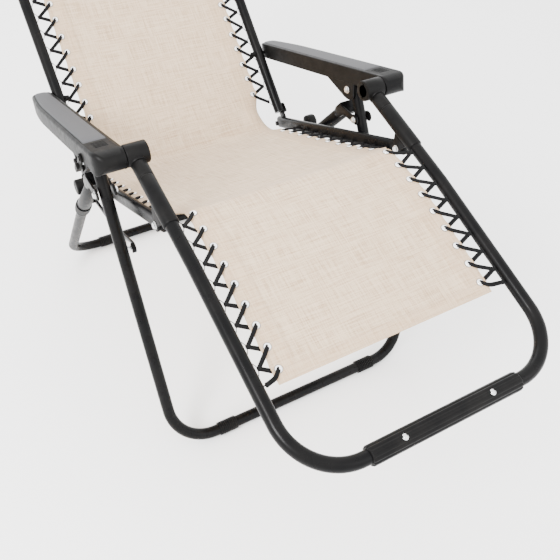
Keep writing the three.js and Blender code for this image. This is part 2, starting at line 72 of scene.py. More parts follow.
class Side(Enum):
    """The two mirrored sides, as the sitter calls them."""

    LEFT = 1
    RIGHT = -1

    @property
    def word(self) -> str:
        """Return the side's word in the CAD node names."""
        return self.name.lower()


class Region(Enum):
    """The three laced stretches of the sling."""

    LEG = "leg"
    SEAT = "seat"
    BACK = "back"


# ---- side-view geometry --------------------------------------------------------------------


def unit(vector: Sequence[float]) -> Array:
    """Return the vector scaled to length one."""
    array = np.asarray(vector, float)
    return array / np.linalg.norm(array)


@dataclass(frozen=True)
class SideLine:
    """A straight part seen from the side: an origin, a heading and the way up from it."""

    origin: Point2
    target: Point2
    flip: bool = False

    @property
    def along(self) -> Array:
        """Return the unit heading from the origin to the target."""
        return unit(np.subtract(self.target, self.origin))

    @property
    def up(self) -> Array:
        """Return the unit direction square to the heading, on the upper side."""
        a = self.along
        return np.array([a[1], -a[0]]) if self.flip else np.array([-a[1], a[0]])

    def spot(self, s: float, h: float = 0.0) -> Array:
        """Return the [y, z] place s along the line and h above it."""
        return np.asarray(self.origin, float) + self.along * s + self.up * h

    def at(self, x: float, s: float, h: float = 0.0) -> Array:
        """Return the 3-D place at lateral x, s along the line and h above it."""
        y, z = self.spot(s, h)
        return np.array([x, y, z])


def on(x: float, spot: Sequence[float]) -> Array:
    """Return the 3-D place of a side-view spot at lateral x."""
    return np.array([x, spot[0], spot[1]])


FRONT_BAR = (-0.358, 0.0156)
REAR_BAR = (0.388, 0.0156)
FOOT_BAR = (-0.770, 0.429)
ARM_FRONT = (-0.1505, 0.6518)
ARM_REAR = (0.344, 0.5172)
ARM_ON_LEG = (-0.0385, 0.5905)
FORK = (-0.073, 0.529)
HIP = (0.2043, 0.382)
KNEE = (-0.265, 0.572)
HOOK_PIVOT = (0.113, 0.377)
HOOK_STUD = (-0.133, 0.421)
LEG_TOP = (-0.1505, 0.648)
LEG_BEND = (-0.3945, 0.571)
REAR_TOP = (-0.022, 0.5325)
ELBOW = (0.135, 0.354)
BACK_ANGLE = math.radians(43.8)

ARM = SideLine(ARM_FRONT, ARM_REAR)
RAIL = SideLine(HIP, KNEE, flip=True)
BACK = SideLine(HIP, (HIP[0] + math.cos(BACK_ANGLE), HIP[1] + math.sin(BACK_ANGLE)))
FRONT_LEG = SideLine(FRONT_BAR, ARM_ON_LEG)
REAR_UPPER = SideLine(REAR_TOP, ELBOW)
REAR_LOWER = SideLine(ELBOW, REAR_BAR)
THIGH = SideLine(LEG_TOP, LEG_BEND)
SHIN = SideLine(LEG_BEND, FOOT_BAR)

TUBE_R = 0.0127
LEG_X = 0.311
BACK_X = 0.2735
LEGREST_X = 0.2675
RAIL_X = 0.2695
BACK_LENGTH = 0.790


def rounded(corners: Sequence[Array], radii: Sequence[float], arc_step: float = 4.0) -> list[Array]:
    """Return a route of straight runs joined by arcs.

    Args:
        corners: the corner places, first and last being the ends.
        radii: the bend radius at each inner corner.
        arc_step: degrees between the points of an arc.

    Returns:
        The route's points in order.
    """
    points = [np.asarray(corners[0], float)]
    for i in range(1, len(corners) - 1):
        into = unit(np.subtract(corners[i], corners[i - 1]))
        out = unit(np.subtract(corners[i + 1], corners[i]))
        turn = math.acos(float(np.clip(into @ out, -1, 1)))
        reach = radii[i - 1] * math.tan(turn / 2)
        inward = unit(out - into * (out @ into))
        start = corners[i] - into * reach
        count = max(3, round(math.degrees(turn) / arc_step))
        for k in range(count + 1):
            a = turn * k / count
            points.append(start + into * (radii[i - 1] * math.sin(a)) + inward * (radii[i - 1] * (1 - math.cos(a))))
    points.append(np.asarray(corners[-1], float))
    return points


def arc(centre: Sequence[float], radius: float, start: float, end: float, count: int) -> list[Array]:
    """Return side-view points on an arc from start to end degrees, both ends included."""
    angles = np.radians(np.linspace(start, end, count + 1))
    return [np.array([centre[0] + radius * math.cos(a), centre[1] + radius * math.sin(a)]) for a in angles]


# ---- finishes ------------------------------------------------------------------------------


class Shader:
    """A material's node tree under construction."""

    def __init__(self, name: str) -> None:
        """Start a material that holds one principled shader."""
        self.material = bpy.data.materials.new(name)
        self.material.use_nodes = True
        self.nodes = self.material.node_tree.nodes
        self.bsdf = self.nodes["Principled BSDF"]
        self.place = self.nodes.new("ShaderNodeTexCoord").outputs["Object"]

    def link(self, source: bpy.types.NodeSocket, target: bpy.types.NodeSocket) -> None:
        """Join one node's output to another's input."""
        self.material.node_tree.links.new(source, target)

    def set(self, **values: object) -> None:
        """Set the shader's own sockets; an underscore stands for a space in a socket's name."""
        for name, value in values.items():
            self.bsdf.inputs[name.replace("_", " ")].default_value = value

    def uv(self, name: str) -> bpy.types.NodeSocket:
        """Return the coordinates of a named UV map."""
        node = self.nodes.new("ShaderNodeUVMap")
        node.uv_map = name
        return node.outputs["UV"]

    def attribute(self, name: str) -> bpy.types.NodeSocket:
        """Return the value of a named point attribute."""
        node = self.nodes.new("ShaderNodeAttribute")
        node.attribute_name = name
        return node.outputs["Fac"]

    def stretched(self, source: bpy.types.NodeSocket, scale: Sequence[float]) -> bpy.types.NodeSocket:
        """Return the coordinates scaled by a different amount along each axis."""
        node = self.nodes.new("ShaderNodeMapping")
        node.inputs["Scale"].default_value = scale
        self.link(source, node.inputs["Vector"])
        return node.outputs["Vector"]

    def noise(self, scale: float, detail: float = 3.0, source: bpy.types.NodeSocket | None = None,
              rough: float = 0.5) -> bpy.types.NodeSocket:
        """Return a noise value at the given scale."""
        node = self.nodes.new("ShaderNodeTexNoise")
        node.inputs["Scale"].default_value = scale
        node.inputs["Detail"].default_value = detail
        node.inputs["Roughness"].default_value = rough
        self.link(source or self.place, node.inputs["Vector"])
        return node.outputs["Fac"]

    def wave(self, scale: float, direction: str, source: bpy.types.NodeSocket,
             distortion: float = 0.0) -> bpy.types.NodeSocket:
        """Return sine bands across the X, Y or DIAGONAL direction."""
        node = self.nodes.new("ShaderNodeTexWave")
        node.bands_direction = direction
        node.inputs["Scale"].default_value = scale
        node.inputs["Distortion"].default_value = distortion
        self.link(source, node.inputs["Vector"])
        return node.outputs["Fac"]

    def math(self, kind: str, a: bpy.types.NodeSocket, b: bpy.types.NodeSocket | float) -> bpy.types.NodeSocket:
        """Return the result of a math node on two values."""
        node = self.nodes.new("ShaderNodeMath")
        node.operation = kind
        self.link(a, node.inputs[0])
        if isinstance(b, float):
            node.inputs[1].default_value = b
        else:
            self.link(b, node.inputs[1])
        return node.outputs[0]

    def ramp(self, value: bpy.types.NodeSocket, low: float, high: float, a: float, b: float) -> bpy.types.NodeSocket:
        """Return the value mapped from low..high to a..b."""
        node = self.nodes.new("ShaderNodeMapRange")
        for name, number in (("From Min", low), ("From Max", high), ("To Min", a), ("To Max", b)):
            node.inputs[name].default_value = number
        self.link(value, node.inputs["Value"])
        return node.outputs["Result"]

    def mix(self, share: bpy.types.NodeSocket, a: object, b: object) -> bpy.types.NodeSocket:
        """Return two colours mixed; each is a socket or a colour."""
        node = self.nodes.new("ShaderNodeMix")
        node.data_type = "RGBA"
        self.link(share, node.inputs["Factor"])
        sockets = [s for s in node.inputs if s.type == "RGBA"]
        for socket, value in zip(sockets, (a, b)):
            if isinstance(value, bpy.types.NodeSocket):
                self.link(value, socket)
            else:
                socket.default_value = (*value, 1.0)
        return next(s for s in node.outputs if s.type == "RGBA")

    def bump(self, height: bpy.types.NodeSocket, distance: float, strength: float = 1.0) -> None:
        """Raise the surface by the height value times the distance."""
        node = self.nodes.new("ShaderNodeBump")
        node.inputs["Strength"].default_value = strength
        node.inputs["Distance"].default_value = distance
        self.link(height, node.inputs["Height"])
        self.link(node.outputs["Normal"], self.bsdf.inputs["Normal"])

    def paint(self, colour: bpy.types.NodeSocket, rough: bpy.types.NodeSocket) -> None:
        """Feed the colour and the roughness."""
        self.link(colour, self.bsdf.inputs["Base Color"])
        self.link(rough, self.bsdf.inputs["Roughness"])


@dataclass(frozen=True)
class Finish:
    """One surface finish; the material is made once, when it is first asked for."""

    name: str
    slot: str

    def material(self) -> bpy.types.Material:
        """Return the finish's material."""
        found = bpy.data.materials.get(self.name)
        return found or self.build()

    def build(self) -> bpy.types.Material:
        """Make the material; each finish says how."""
        raise NotImplementedError


@dataclass(frozen=True)
class PowderCoat(Finish):
    """Black powder coat on steel tube: a smooth gloss with faint orange peel and dust."""

    dark: tuple[float, float, float] = (0.002, 0.002, 0.0022)
    dusty: tuple[float, float, float] = (0.0045, 0.0042, 0.0042)
    peel: float = 0.00003

    def build(self) -> bpy.types.Material:
        """Make the material."""
        s = Shader(self.name)
        dust = s.ramp(s.noise(14.0, 5.0), 0.42, 0.68, 0.0, 1.0)
        rough = s.ramp(s.noise(60.0, 4.0), 0.3, 0.7, 0.24, 0.36)
        s.paint(s.mix(dust, self.dark, self.dusty), rough)
        s.bump(s.noise(420.0, 2.0), self.peel)
        s.set(Specular_IOR_Level=0.07, Coat_Weight=0.02, Coat_Roughness=0.14)
        return s.material


@dataclass(frozen=True)
class MouldedPlastic(Finish):
    """Injection-moulded black plastic with a fine spark-eroded grain."""

    dark: tuple[float, float, float] = (0.0022, 0.0022, 0.0024)
    light: tuple[float, float, float] = (0.0055, 0.0052, 0.0050)
    gloss: tuple[float, float] = (0.36, 0.47)
    grain: float = 0.00006
    grain_scale: float = 1500.0

    def build(self) -> bpy.types.Material:
        """Make the material."""
        s = Shader(self.name)
        cloud = s.noise(22.0, 4.0)
        grain = s.noise(self.grain_scale, 2.0)
        rough = s.ramp(s.noise(90.0, 3.0), 0.3, 0.7, *self.gloss)
        s.paint(s.mix(s.ramp(cloud, 0.35, 0.7, 0.0, 1.0), self.dark, self.light), rough)
        s.bump(grain, self.grain)
        s.set(Specular_IOR_Level=0.07)
        return s.material


@dataclass(frozen=True)
class ZincPlate(Finish):
    """Bright zinc on bolts and screws, a little clouded."""

    def build(self) -> bpy.types.Material:
        """Make the material."""
        s = Shader(self.name)
        cloud = s.ramp(s.noise(260.0, 4.0), 0.35, 0.65, 0.0, 1.0)
        s.paint(s.mix(cloud, (0.62, 0.63, 0.65), (0.80, 0.80, 0.79)), s.ramp(s.noise(500.0, 2.0), 0.3, 0.7, 0.2, 0.36))
        s.bump(s.noise(900.0, 2.0), 0.00002)
        s.set(Metallic=1.0)
        return s.material


@dataclass(frozen=True)
class Nickel(Finish):
    """Nickel on the pressed eyelets, polished or shaded in random patches; the dark copy on the eyelets' rings is
    painted shade.
    """

    tint: tuple[float, float, float] = (0.96, 0.96, 0.95)
    metallic: float = 0.35

    def build(self) -> bpy.types.Material:
        """Make the material."""
        s = Shader(self.name)
        cloud = s.ramp(s.noise(300.0, 3.0), 0.35, 0.65, 0.0, 1.0)
        shaded = tuple(0.9 * c for c in self.tint)
        s.paint(s.mix(cloud, self.tint, shaded), s.ramp(cloud, 0.0, 1.0, 0.18, 0.3))
        s.bump(s.noise(900.0, 2.0), 0.00001)
        s.set(Metallic=self.metallic)
        return s.material


@dataclass(frozen=True)
class Textilene(Finish):
    """Beige open-weave sling cloth with thick and thin yarns; the hems are doubled and warmer."""

    pale: tuple[float, float, float] = (0.66, 0.505, 0.35)
    deep: tuple[float, float, float] = (0.34, 0.215, 0.112)
    hem: tuple[float, float, float] = (0.50, 0.335, 0.195)
    yarn_pitch: float = 0.0014
    see_through: float = 0.12

    def build(self) -> bpy.types.Material:
        """Make the material."""
        s = Shader(self.name)
        uv = s.uv("weave")
        long_slubs = s.noise(1.0, 4.0, s.stretched(uv, (420.0, 16.0, 1.0)), 0.6)
        cross_slubs = s.noise(1.0, 4.0, s.stretched(uv, (14.0, 360.0, 1.0)), 0.6)
        fine = s.noise(1.0, 2.0, s.stretched(uv, (900.0, 900.0, 1.0)))
        slubs = s.math("ADD", long_slubs, cross_slubs)
        tone = s.ramp(s.math("ADD", slubs, fine), 1.12, 1.62, 0.0, 1.0)
        ground = s.mix(tone, self.deep, self.pale)
        hem = s.attribute("hem")
        colour = s.mix(s.math("MULTIPLY", hem, 0.25), ground, self.hem)
        bands = 2 * math.pi / self.yarn_pitch / 20.0
        warp = s.wave(bands, "X", uv)
        weft = s.wave(bands, "Y", uv)
        weave = s.math("MULTIPLY", warp, weft)
        height = s.math("ADD", s.math("MULTIPLY", weave, 0.7), s.math("MULTIPLY", slubs, 0.6))
        s.paint(colour, s.ramp(slubs, 0.7, 1.3, 0.88, 0.72))
        s.bump(height, 0.0004)
        s.set(Specular_IOR_Level=0.2, Sheen_Weight=0.12, Sheen_Roughness=0.5, Alpha=1.0 - self.see_through)
        return s.material


@dataclass(frozen=True)
class PillowCloth(Finish):
    """The pillow's beige cloth, the same yarns at the same scale on Object coordinates."""

    pale: tuple[float, float, float] = (0.65, 0.495, 0.34)
    deep: tuple[float, float, float] = (0.35, 0.225, 0.12)

    def build(self) -> bpy.types.Material:
        """Make the material."""
        s = Shader(self.name)
        across = s.noise(1.0, 4.0, s.stretched(s.place, (24.0, 420.0, 420.0)), 0.6)
        along = s.noise(1.0, 4.0, s.stretched(s.place, (420.0, 26.0, 26.0)), 0.6)
        slubs = s.math("ADD", across, along)
        s.paint(s.mix(s.ramp(slubs, 0.78, 1.14, 0.0, 1.0), self.deep, self.pale), s.ramp(slubs, 0.7, 1.3, 0.9, 0.75))
        s.bump(s.math("ADD", slubs, s.noise(1400.0, 2.0)), 0.0002)
        s.set(Specular_IOR_Level=0.3, Sheen_Weight=0.15, Sheen_Roughness=0.5)
        return s.material


@dataclass(frozen=True)
class Thread(Finish):
    """Sewing thread."""

    tint: tuple[float, float, float] = (0.50, 0.40, 0.30)

    def build(self) -> bpy.types.Material:
        """Make the material."""
        s = Shader(self.name)
        twist = s.noise(2600.0, 2.0)
        darker = tuple(0.75 * c for c in self.tint)
        s.paint(s.mix(twist, self.tint, darker), s.ramp(twist, 0.3, 0.7, 0.6, 0.8))
        s.bump(twist, 0.0001)
        return s.material


@dataclass(frozen=True)
class Elastic(Finish):
    """Black braided elastic cord, with painted shade in the grooves between the braid's bumps."""

    dark: tuple[float, float, float] = (0.0016, 0.0016, 0.0018)
    light: tuple[float, float, float] = (0.006, 0.006, 0.0065)

    def build(self) -> bpy.types.Material:
        """Make the material."""
        s = Shader(self.name)
        braid = s.nodes.new("ShaderNodeTexVoronoi")
        braid.inputs["Scale"].default_value = 950.0
        s.link(s.place, braid.inputs["Vector"])
        cell = braid.outputs["Distance"]
        # Bump centres lighter and the recessed grooves between them darker: painted shade in the braid's grooves.
        s.paint(s.mix(cell, self.light, self.dark), s.ramp(cell, 0.0, 0.7, 0.5, 0.75))
        s.bump(cell, -0.0002)
        s.set(Specular_IOR_Level=0.1)
        return s.material


@dataclass(frozen=True)
class StudioFloor(Finish):
    """The pale floor."""

    def build(self) -> bpy.types.Material:
        """Make the material."""
        s = Shader(self.name)
        cloud = s.noise(1.2, 2.0)
        s.paint(s.mix(cloud, (0.93, 0.93, 0.93), (0.95, 0.95, 0.95)), s.ramp(cloud, 0.3, 0.7, 0.75, 0.85))
        return s.material


STEEL = PowderCoat("powder_coat", "black_steel")
PLASTIC = MouldedPlastic("moulded_plastic", "black_plastic")
PAD = MouldedPlastic("pad_plastic", "pad_plastic", dark=(0.0045, 0.0045, 0.0048), light=(0.0085, 0.0083, 0.0082),
                     gloss=(0.5, 0.62), grain=0.00012, grain_scale=900.0)
ZINC = ZincPlate("zinc_plate", "bright_zinc")
NICKEL = Nickel("eyelet_nickel", "bright_zinc")
# The eyelets' rings are bright nickel painted dark: painted shade round each eyelet.
PAINTED_SHADE_RIM = Nickel("eyelet_rim", "bright_zinc", tint=(0.20, 0.20, 0.205), metallic=0.9)
CLOTH = Textilene("textilene", "beige_mesh")
PILLOW = PillowCloth("pillow_cloth", "beige_pad")
PIPING = PillowCloth("pillow_piping", "beige_pad", pale=(0.60, 0.51, 0.40), deep=(0.50, 0.41, 0.31))
THREAD = Thread("thread", "beige_mesh")
ELASTIC = Elastic("elastic", "black_elastic")
FLOOR = StudioFloor("studio_floor", "")


# ---- meshes --------------------------------------------------------------------------------


class Shape:
    """A mesh under construction, gathered shell by shell."""

    def __init__(self) -> None:
        """Start with no shells."""
        self.corners: list[Array] = []
        self.faces: list[tuple[int, ...]] = []

    def shell(self, corners: Iterable[Sequence[float]], faces: Iterable[Sequence[int]]) -> "Shape":
        """Add corners and the faces between them."""
        base = len(self.corners)
        self.corners.extend(np.asarray(c, float) for c in corners)
        self.faces.extend(tuple(base + i for i in face) for face in faces)
        return self

    def loft(self, rings: Sequence[Sequence[Array]]) -> "Shape":
        """Add a closed shell through rings that have the same number of corners."""
        n = len(rings[0])
        faces: list[tuple[int, ...]] = []
        for r in range(len(rings) - 1):
            for i in range(n):
                j = (i + 1) % n
                faces.append((r * n + i, r * n + j, (r + 1) * n + j, (r + 1) * n + i))
        faces.append(tuple(range(n)))
        faces.append(tuple(range((len(rings) - 1) * n, len(rings) * n)))
        return self.shell([c for ring in rings for c in ring], faces)

    def prism(self, outline: Sequence[Sequence[float]], x0: float, x1: float) -> "Shape":
        """Add a bar along X whose outline is given in side view."""
        return self.loft([[on(x, p) for p in outline] for x in (x0, x1)])

    def turned(self, path: Sequence[Array], radii: Sequence[float], sides: int = 32,
               start: float = 0.0) -> "Shape":
        """Add a round body.

        Args:
            path: the centre of each ring.
            radii: the radius of each ring.
            sides: the number of corners of a ring; six gives a hexagon.
            start: the angle of the first corner in degrees.

        Returns:
            The shape itself.
        """
        centres = [np.asarray(p, float) for p in path]
        heading = unit(centres[-1] - centres[0])
        guide = np.array([1.0, 0.0, 0.0]) if abs(heading[0]) < 0.7 else np.array([0.0, 0.0, 1.0])
        rings = []
        for i, centre in enumerate(centres):
            before = centre - centres[i - 1] if i else np.zeros(3)
            after = centres[i + 1] - centre if i + 1 < len(centres) else np.zeros(3)
            step = before + after
            tangent = unit(step) if np.linalg.norm(step) > 1e-7 else heading
            first = unit(guide - tangent * (guide @ tangent))
            second = np.cross(tangent, first)
            angles = np.radians(start) + np.linspace(0, 2 * math.pi, sides, endpoint=False)
            rings.append([centre + radii[i] * (math.cos(a) * first + math.sin(a) * second) for a in angles])
        return self.loft(rings)

    def lathe(self, spot: Sequence[float], way: int, marks: Sequence[Point2], sides: int) -> "Shape":
        """Turn (lateral place, radius) marks about the lateral axis through a side-view spot."""
        return self.turned([on(way * x, spot) for x, _ in marks], [r for _, r in marks], sides)

    def disc(self, x: float, spot: Sequence[float], radius: float, length: float, edge: float = 0.0006,
             sides: int = 32) -> "Shape":
        """Add a disc along X from x on, with its rims rounded off."""
        way = 1.0 if length > 0 else -1.0
        marks = [(0.0, radius - edge), (0.3 * edge * way, radius - 0.3 * edge), (edge * way, radius),
                 (length - edge * way, radius), (length - 0.3 * edge * way, radius - 0.3 * edge),
                 (length, radius - edge)]
        return self.turned([on(x + m, spot) for m, _ in marks], [r for _, r in marks], sides)

    def piece(self, name: str, finish: Finish, bevel: float = 0.0, segments: int = 2,
              sharp: float = 38.0, subdivide: int = 0) -> bpy.types.Object:
        """Make the object.

        Args:
            name: the piece's name.
            finish: its finish.
            bevel: the width of the rounding on its sharp edges, or zero.
            segments: the number of steps in the rounding.
            sharp: the angle in degrees above which an edge is shaded sharp.
            subdivide: the number of subdivision steps.

        Returns:
            The object, at the origin.
        """
        mesh = bpy.data.meshes.new(name)
        mesh.from_pydata([tuple(c) for c in self.corners], [], self.faces)
        tidy = bmesh.new()
        tidy.from_mesh(mesh)
        bmesh.ops.recalc_face_normals(tidy, faces=tidy.faces)
        tidy.to_mesh(mesh)
        tidy.free()
        obj = bpy.data.objects.new(name, mesh)
        bpy.context.scene.collection.objects.link(obj)
        mesh.materials.append(finish.material())
        if bevel:
            rounding = obj.modifiers.new("rounding", "BEVEL")
            rounding.width = bevel
            rounding.segments = segments
            rounding.limit_method = "ANGLE"
            rounding.angle_limit = math.radians(28)
        if subdivide:
            smooth = obj.modifiers.new("smooth", "SUBSURF")
            smooth.levels = smooth.render_levels = subdivide
        bake(obj, sharp)
        return obj


def bake(obj: bpy.types.Object, sharp: float = 38.0) -> None:
    """Turn an object's modifiers into its plain mesh and shade it smooth but for its sharp edges."""
    bpy.context.view_layer.update()
    mesh = bpy.data.meshes.new_from_object(obj.evaluated_get(bpy.context.evaluated_depsgraph_get()))
    obj.modifiers.clear()
    obj.data = mesh
    mesh.name = obj.name
    mesh.shade_smooth()
    mesh.set_sharp_from_angle(angle=math.radians(sharp))


# ---- geometry nodes ------------------------------------------------------------------------


class Tree:
    """A Geometry Nodes tree: it is described once and grown on as many base meshes as needed."""

    def __init__(self, name: str) -> None:
        """Start a tree with its geometry and material inputs."""
        self.group = bpy.data.node_groups.new(name, "GeometryNodeTree")
        self.group.interface.new_socket("Geometry", in_out="OUTPUT", socket_type="NodeSocketGeometry")
        self.identifiers: dict[str, str] = {}
        self.entry = self.group.nodes.new("NodeGroupInput")
        self.exit = self.group.nodes.new("NodeGroupOutput")
        self.ask("Geometry", "NodeSocketGeometry")
        self.ask("Material", "NodeSocketMaterial")

    def ask(self, name: str, kind: str, default: float | None = None) -> None:
        """Add a named input."""
        socket = self.group.interface.new_socket(name, in_out="INPUT", socket_type=kind)
        if default is not None:
            socket.default_value = default
        self.identifiers[name] = socket.identifier

    def given(self, name: str) -> bpy.types.NodeSocket:
        """Return the socket that carries a named input."""
        return self.entry.outputs[name]

    def node(self, kind: str, settings: dict[str, object] | None = None,
             inputs: dict[str | int, object] | None = None) -> bpy.types.Node:
        """Add a node.

        Args:
            kind: the node's type name, without its family prefix where that is GeometryNode.
            settings: the node's own properties.
            inputs: values or sockets for its inputs, by name or number.

        Returns:
            The node.
        """
        full = kind if kind.startswith(("GeometryNode", "FunctionNode", "ShaderNode")) else "GeometryNode" + kind
        node = self.group.nodes.new(full)
        for name, value in (settings or {}).items():
            setattr(node, name, value)
        for name, value in (inputs or {}).items():
            if isinstance(value, bpy.types.NodeSocket):
                self.group.links.new(value, node.inputs[name])
            else:
                node.inputs[name].default_value = value
        return node

    def end(self, geometry: bpy.types.NodeSocket) -> None:
        """Realize the instances, set the material and close the tree."""
        real = self.node("RealizeInstances", inputs={"Geometry": geometry})
        dressed = self.node("SetMaterial", inputs={"Geometry": real.outputs[0], "Material": self.given("Material")})
        self.group.links.new(dressed.outputs[0], self.exit.inputs[0])

    def grow(self, name: str, base: bpy.types.Mesh, finish: Finish, sharp: float = 38.0,
             **values: object) -> bpy.types.Object:
        """Grow the tree on a base mesh and keep the result as a plain mesh.

        Args:
            name: the piece's name.
            base: the mesh of points or lines that the tree works on.
            finish: the piece's finish.
            sharp: the angle in degrees above which an edge is shaded sharp.
            values: the tree's inputs; an underscore stands for a space.

        Returns:
            The piece, at the origin.
        """
        obj = bpy.data.objects.new(name, base)
        bpy.context.scene.collection.objects.link(obj)
        growth = obj.modifiers.new("growth", "NODES")
        growth.node_group = self.group
        growth[self.identifiers["Material"]] = finish.material()
        for word, value in values.items():
            growth[self.identifiers[word.replace("_", " ")]] = value
        bake(obj, sharp)
        return obj


def line_mesh(name: str, routes: Sequence[Sequence[Array]]) -> bpy.types.Mesh:
    """Return a mesh of poly-lines, one for each route."""
    corners: list[tuple[float, ...]] = []
    edges: list[tuple[int, int]] = []
    for route in routes:
        base = len(corners)
        corners.extend(tuple(float(v) for v in p) for p in route)
        edges.extend((base + i, base + i + 1) for i in range(len(route) - 1))
    mesh = bpy.data.meshes.new(name)
    mesh.from_pydata(corners, edges, [])
    return mesh


def point_mesh(name: str, places: Sequence[Array], facing: Sequence[Array],
               heading: Sequence[Array] | None = None) -> bpy.types.Mesh:
    """Return a mesh of loose points that carry the directions an instance takes.

    Args:
        name: the mesh's name.
        places: the points.
        facing: where the instance's Z axis looks, at each point.
        heading: where its X axis looks, at each point.

    Returns:
        The mesh, with the attributes facing and heading.
    """
    mesh = bpy.data.meshes.new(name)
    mesh.from_pydata([tuple(float(v) for v in p) for p in places], [], [])
    ways = heading if heading is not None else [np.array([0.0, 1.0, 0.0])] * len(places)
    for word, vectors in (("facing", facing), ("heading", ways)):
        layer = mesh.attributes.new(word, "FLOAT_VECTOR", "POINT")
        layer.data.foreach_set("vector", np.asarray(vectors, np.float32).ravel())
    return mesh


def tube_tree() -> Tree:
    """Return the tree that sweeps a round section along poly-lines."""
    tree = Tree("tube")
    tree.ask("Radius", "NodeSocketFloat", TUBE_R)
    tree.ask("Sides", "NodeSocketInt", 40)
    curve = tree.node("MeshToCurve", inputs={"Mesh": tree.given("Geometry")})
    section = tree.node("CurvePrimitiveCircle", inputs={"Radius": tree.given("Radius"),
                                                        "Resolution": tree.given("Sides")})
    swept = tree.node("CurveToMesh", inputs={"Curve": curve.outputs[0], "Profile Curve": section.outputs[0],
                                             "Fill Caps": True})
    tree.end(swept.outputs[0])
    return tree


def turned_instances(tree: Tree, part: bpy.types.NodeSocket) -> bpy.types.NodeSocket:
    """Put a part on each base point, turned to the point's facing and heading."""
    facing = tree.node("InputNamedAttribute", {"data_type": "FLOAT_VECTOR"}, {"Name": "facing"})
    heading = tree.node("InputNamedAttribute", {"data_type": "FLOAT_VECTOR"}, {"Name": "heading"})
    turn = tree.node("FunctionNodeAxesToRotation", {"primary_axis": "Z", "secondary_axis": "X"},
                     {0: facing.outputs[0], 1: heading.outputs[0]})
    points = tree.node("InstanceOnPoints", inputs={"Points": tree.given("Geometry"), "Instance": part,
                                                   "Rotation": turn.outputs[0]})
    return points.outputs[0]


def hardware_tree() -> Tree:
    """Return the tree that repeats a template part on points."""
    tree = Tree("hardware")
    tree.ask("Template", "NodeSocketObject")
    template = tree.node("ObjectInfo", inputs={"Object": tree.given("Template"), "As Instance": True})
    tree.end(turned_instances(tree, template.outputs["Geometry"]))
    return tree


def eyelet_tree() -> Tree:
    """Return the tree that presses domed rings onto points."""
    tree = Tree("eyelet")
    tree.ask("Ring Radius", "NodeSocketFloat", 0.0070)
    tree.ask("Wire Radius", "NodeSocketFloat", 0.0008)
    path = tree.node("CurvePrimitiveCircle", inputs={"Radius": tree.given("Ring Radius"), "Resolution": 20})
    wire = tree.node("CurvePrimitiveCircle", inputs={"Radius": tree.given("Wire Radius"), "Resolution": 8})
    ring = tree.node("CurveToMesh", inputs={"Curve": path.outputs[0], "Profile Curve": wire.outputs[0]})
    tree.end(turned_instances(tree, ring.outputs[0]))
    return tree


def stitch_tree() -> Tree:
    """Return the tree that sews stitches along poly-lines."""
    tree = Tree("stitch")
    tree.ask("Pitch", "NodeSocketFloat", 0.0042)
    tree.ask("Length", "NodeSocketFloat", 0.0030)
    tree.ask("Width", "NodeSocketFloat", 0.0009)
    curve = tree.node("MeshToCurve", inputs={"Mesh": tree.given("Geometry")})
    spaced = tree.node("ResampleCurve", {"mode": "LENGTH"},
                       {"Curve": curve.outputs[0], "Length": tree.given("Pitch")})
    grain = tree.node("MeshUVSphere", inputs={"Segments": 6, "Rings": 4, "Radius": 0.5})
    size = tree.node("ShaderNodeCombineXYZ", inputs={"X": tree.given("Width"), "Y": tree.given("Width"),
                                                     "Z": tree.given("Length")})
    tangent = tree.node("InputTangent")
    turn = tree.node("FunctionNodeAlignRotationToVector", {"axis": "Z"}, {"Vector": tangent.outputs[0]})
    sewn = tree.node("InstanceOnPoints", inputs={"Points": spaced.outputs[0], "Instance": grain.outputs[0],
                                                 "Rotation": turn.outputs[0], "Scale": size.outputs[0]})
    tree.end(sewn.outputs[0])
    return tree


def ribbed_sleeve_tree() -> Tree:
    """Return the tree that rings a plain sleeve along X, centred on each base point."""
    tree = Tree("ribbed_sleeve")
    tree.ask("Core Radius", "NodeSocketFloat", 0.01425)
    tree.ask("Ring Radius", "NodeSocketFloat", 0.00135)
    tree.ask("Ring Pitch", "NodeSocketFloat", 0.0045)
    tree.ask("Ring Count", "NodeSocketInt", 10)
    gaps = tree.node("ShaderNodeMath", {"operation": "SUBTRACT"}, {0: tree.given("Ring Count"), 1: 1.0})
    span = tree.node("ShaderNodeMath", {"operation": "MULTIPLY"}, {0: gaps.outputs[0], 1: tree.given("Ring Pitch")})
    start = tree.node("ShaderNodeMath", {"operation": "MULTIPLY"}, {0: span.outputs[0], 1: -0.5})
    end = tree.node("ShaderNodeMath", {"operation": "MULTIPLY"}, {0: span.outputs[0], 1: 0.5})
    first = tree.node("ShaderNodeCombineXYZ", inputs={"X": start.outputs[0]})
    last = tree.node("ShaderNodeCombineXYZ", inputs={"X": end.outputs[0]})
    pitch = tree.node("ShaderNodeCombineXYZ", inputs={"X": tree.given("Ring Pitch")})
    row = tree.node("MeshLine", inputs={"Count": tree.given("Ring Count"), "Start Location": first.outputs[0],
                                        "Offset": pitch.outputs[0]})
    path = tree.node("CurvePrimitiveCircle", inputs={"Radius": tree.given("Core Radius"), "Resolution": 48})
    wire = tree.node("CurvePrimitiveCircle", inputs={"Radius": tree.given("Ring Radius"), "Resolution": 10})
    ring = tree.node("CurveToMesh", inputs={"Curve": path.outputs[0], "Profile Curve": wire.outputs[0]})
    rings = tree.node("InstanceOnPoints", inputs={"Points": row.outputs[0], "Instance": ring.outputs[0],
                                                  "Rotation": (0.0, math.pi / 2, 0.0)})
    core_path = tree.node("CurvePrimitiveLine", inputs={"Start": first.outputs[0], "End": last.outputs[0]})
    core_ring = tree.node("CurvePrimitiveCircle", inputs={"Radius": tree.given("Core Radius"), "Resolution": 48})
    core = tree.node("CurveToMesh", inputs={"Curve": core_path.outputs[0], "Profile Curve": core_ring.outputs[0],
                                            "Fill Caps": True})
    whole = tree.node("JoinGeometry")
    for part in (rings, core):
        tree.group.links.new(part.outputs[0], whole.inputs[0])
    placed = tree.node("InstanceOnPoints", inputs={"Points": tree.given("Geometry"), "Instance": whole.outputs[0]})
    tree.end(placed.outputs[0])
    return tree


# ---- pieces on bodies ----------------------------------------------------------------------


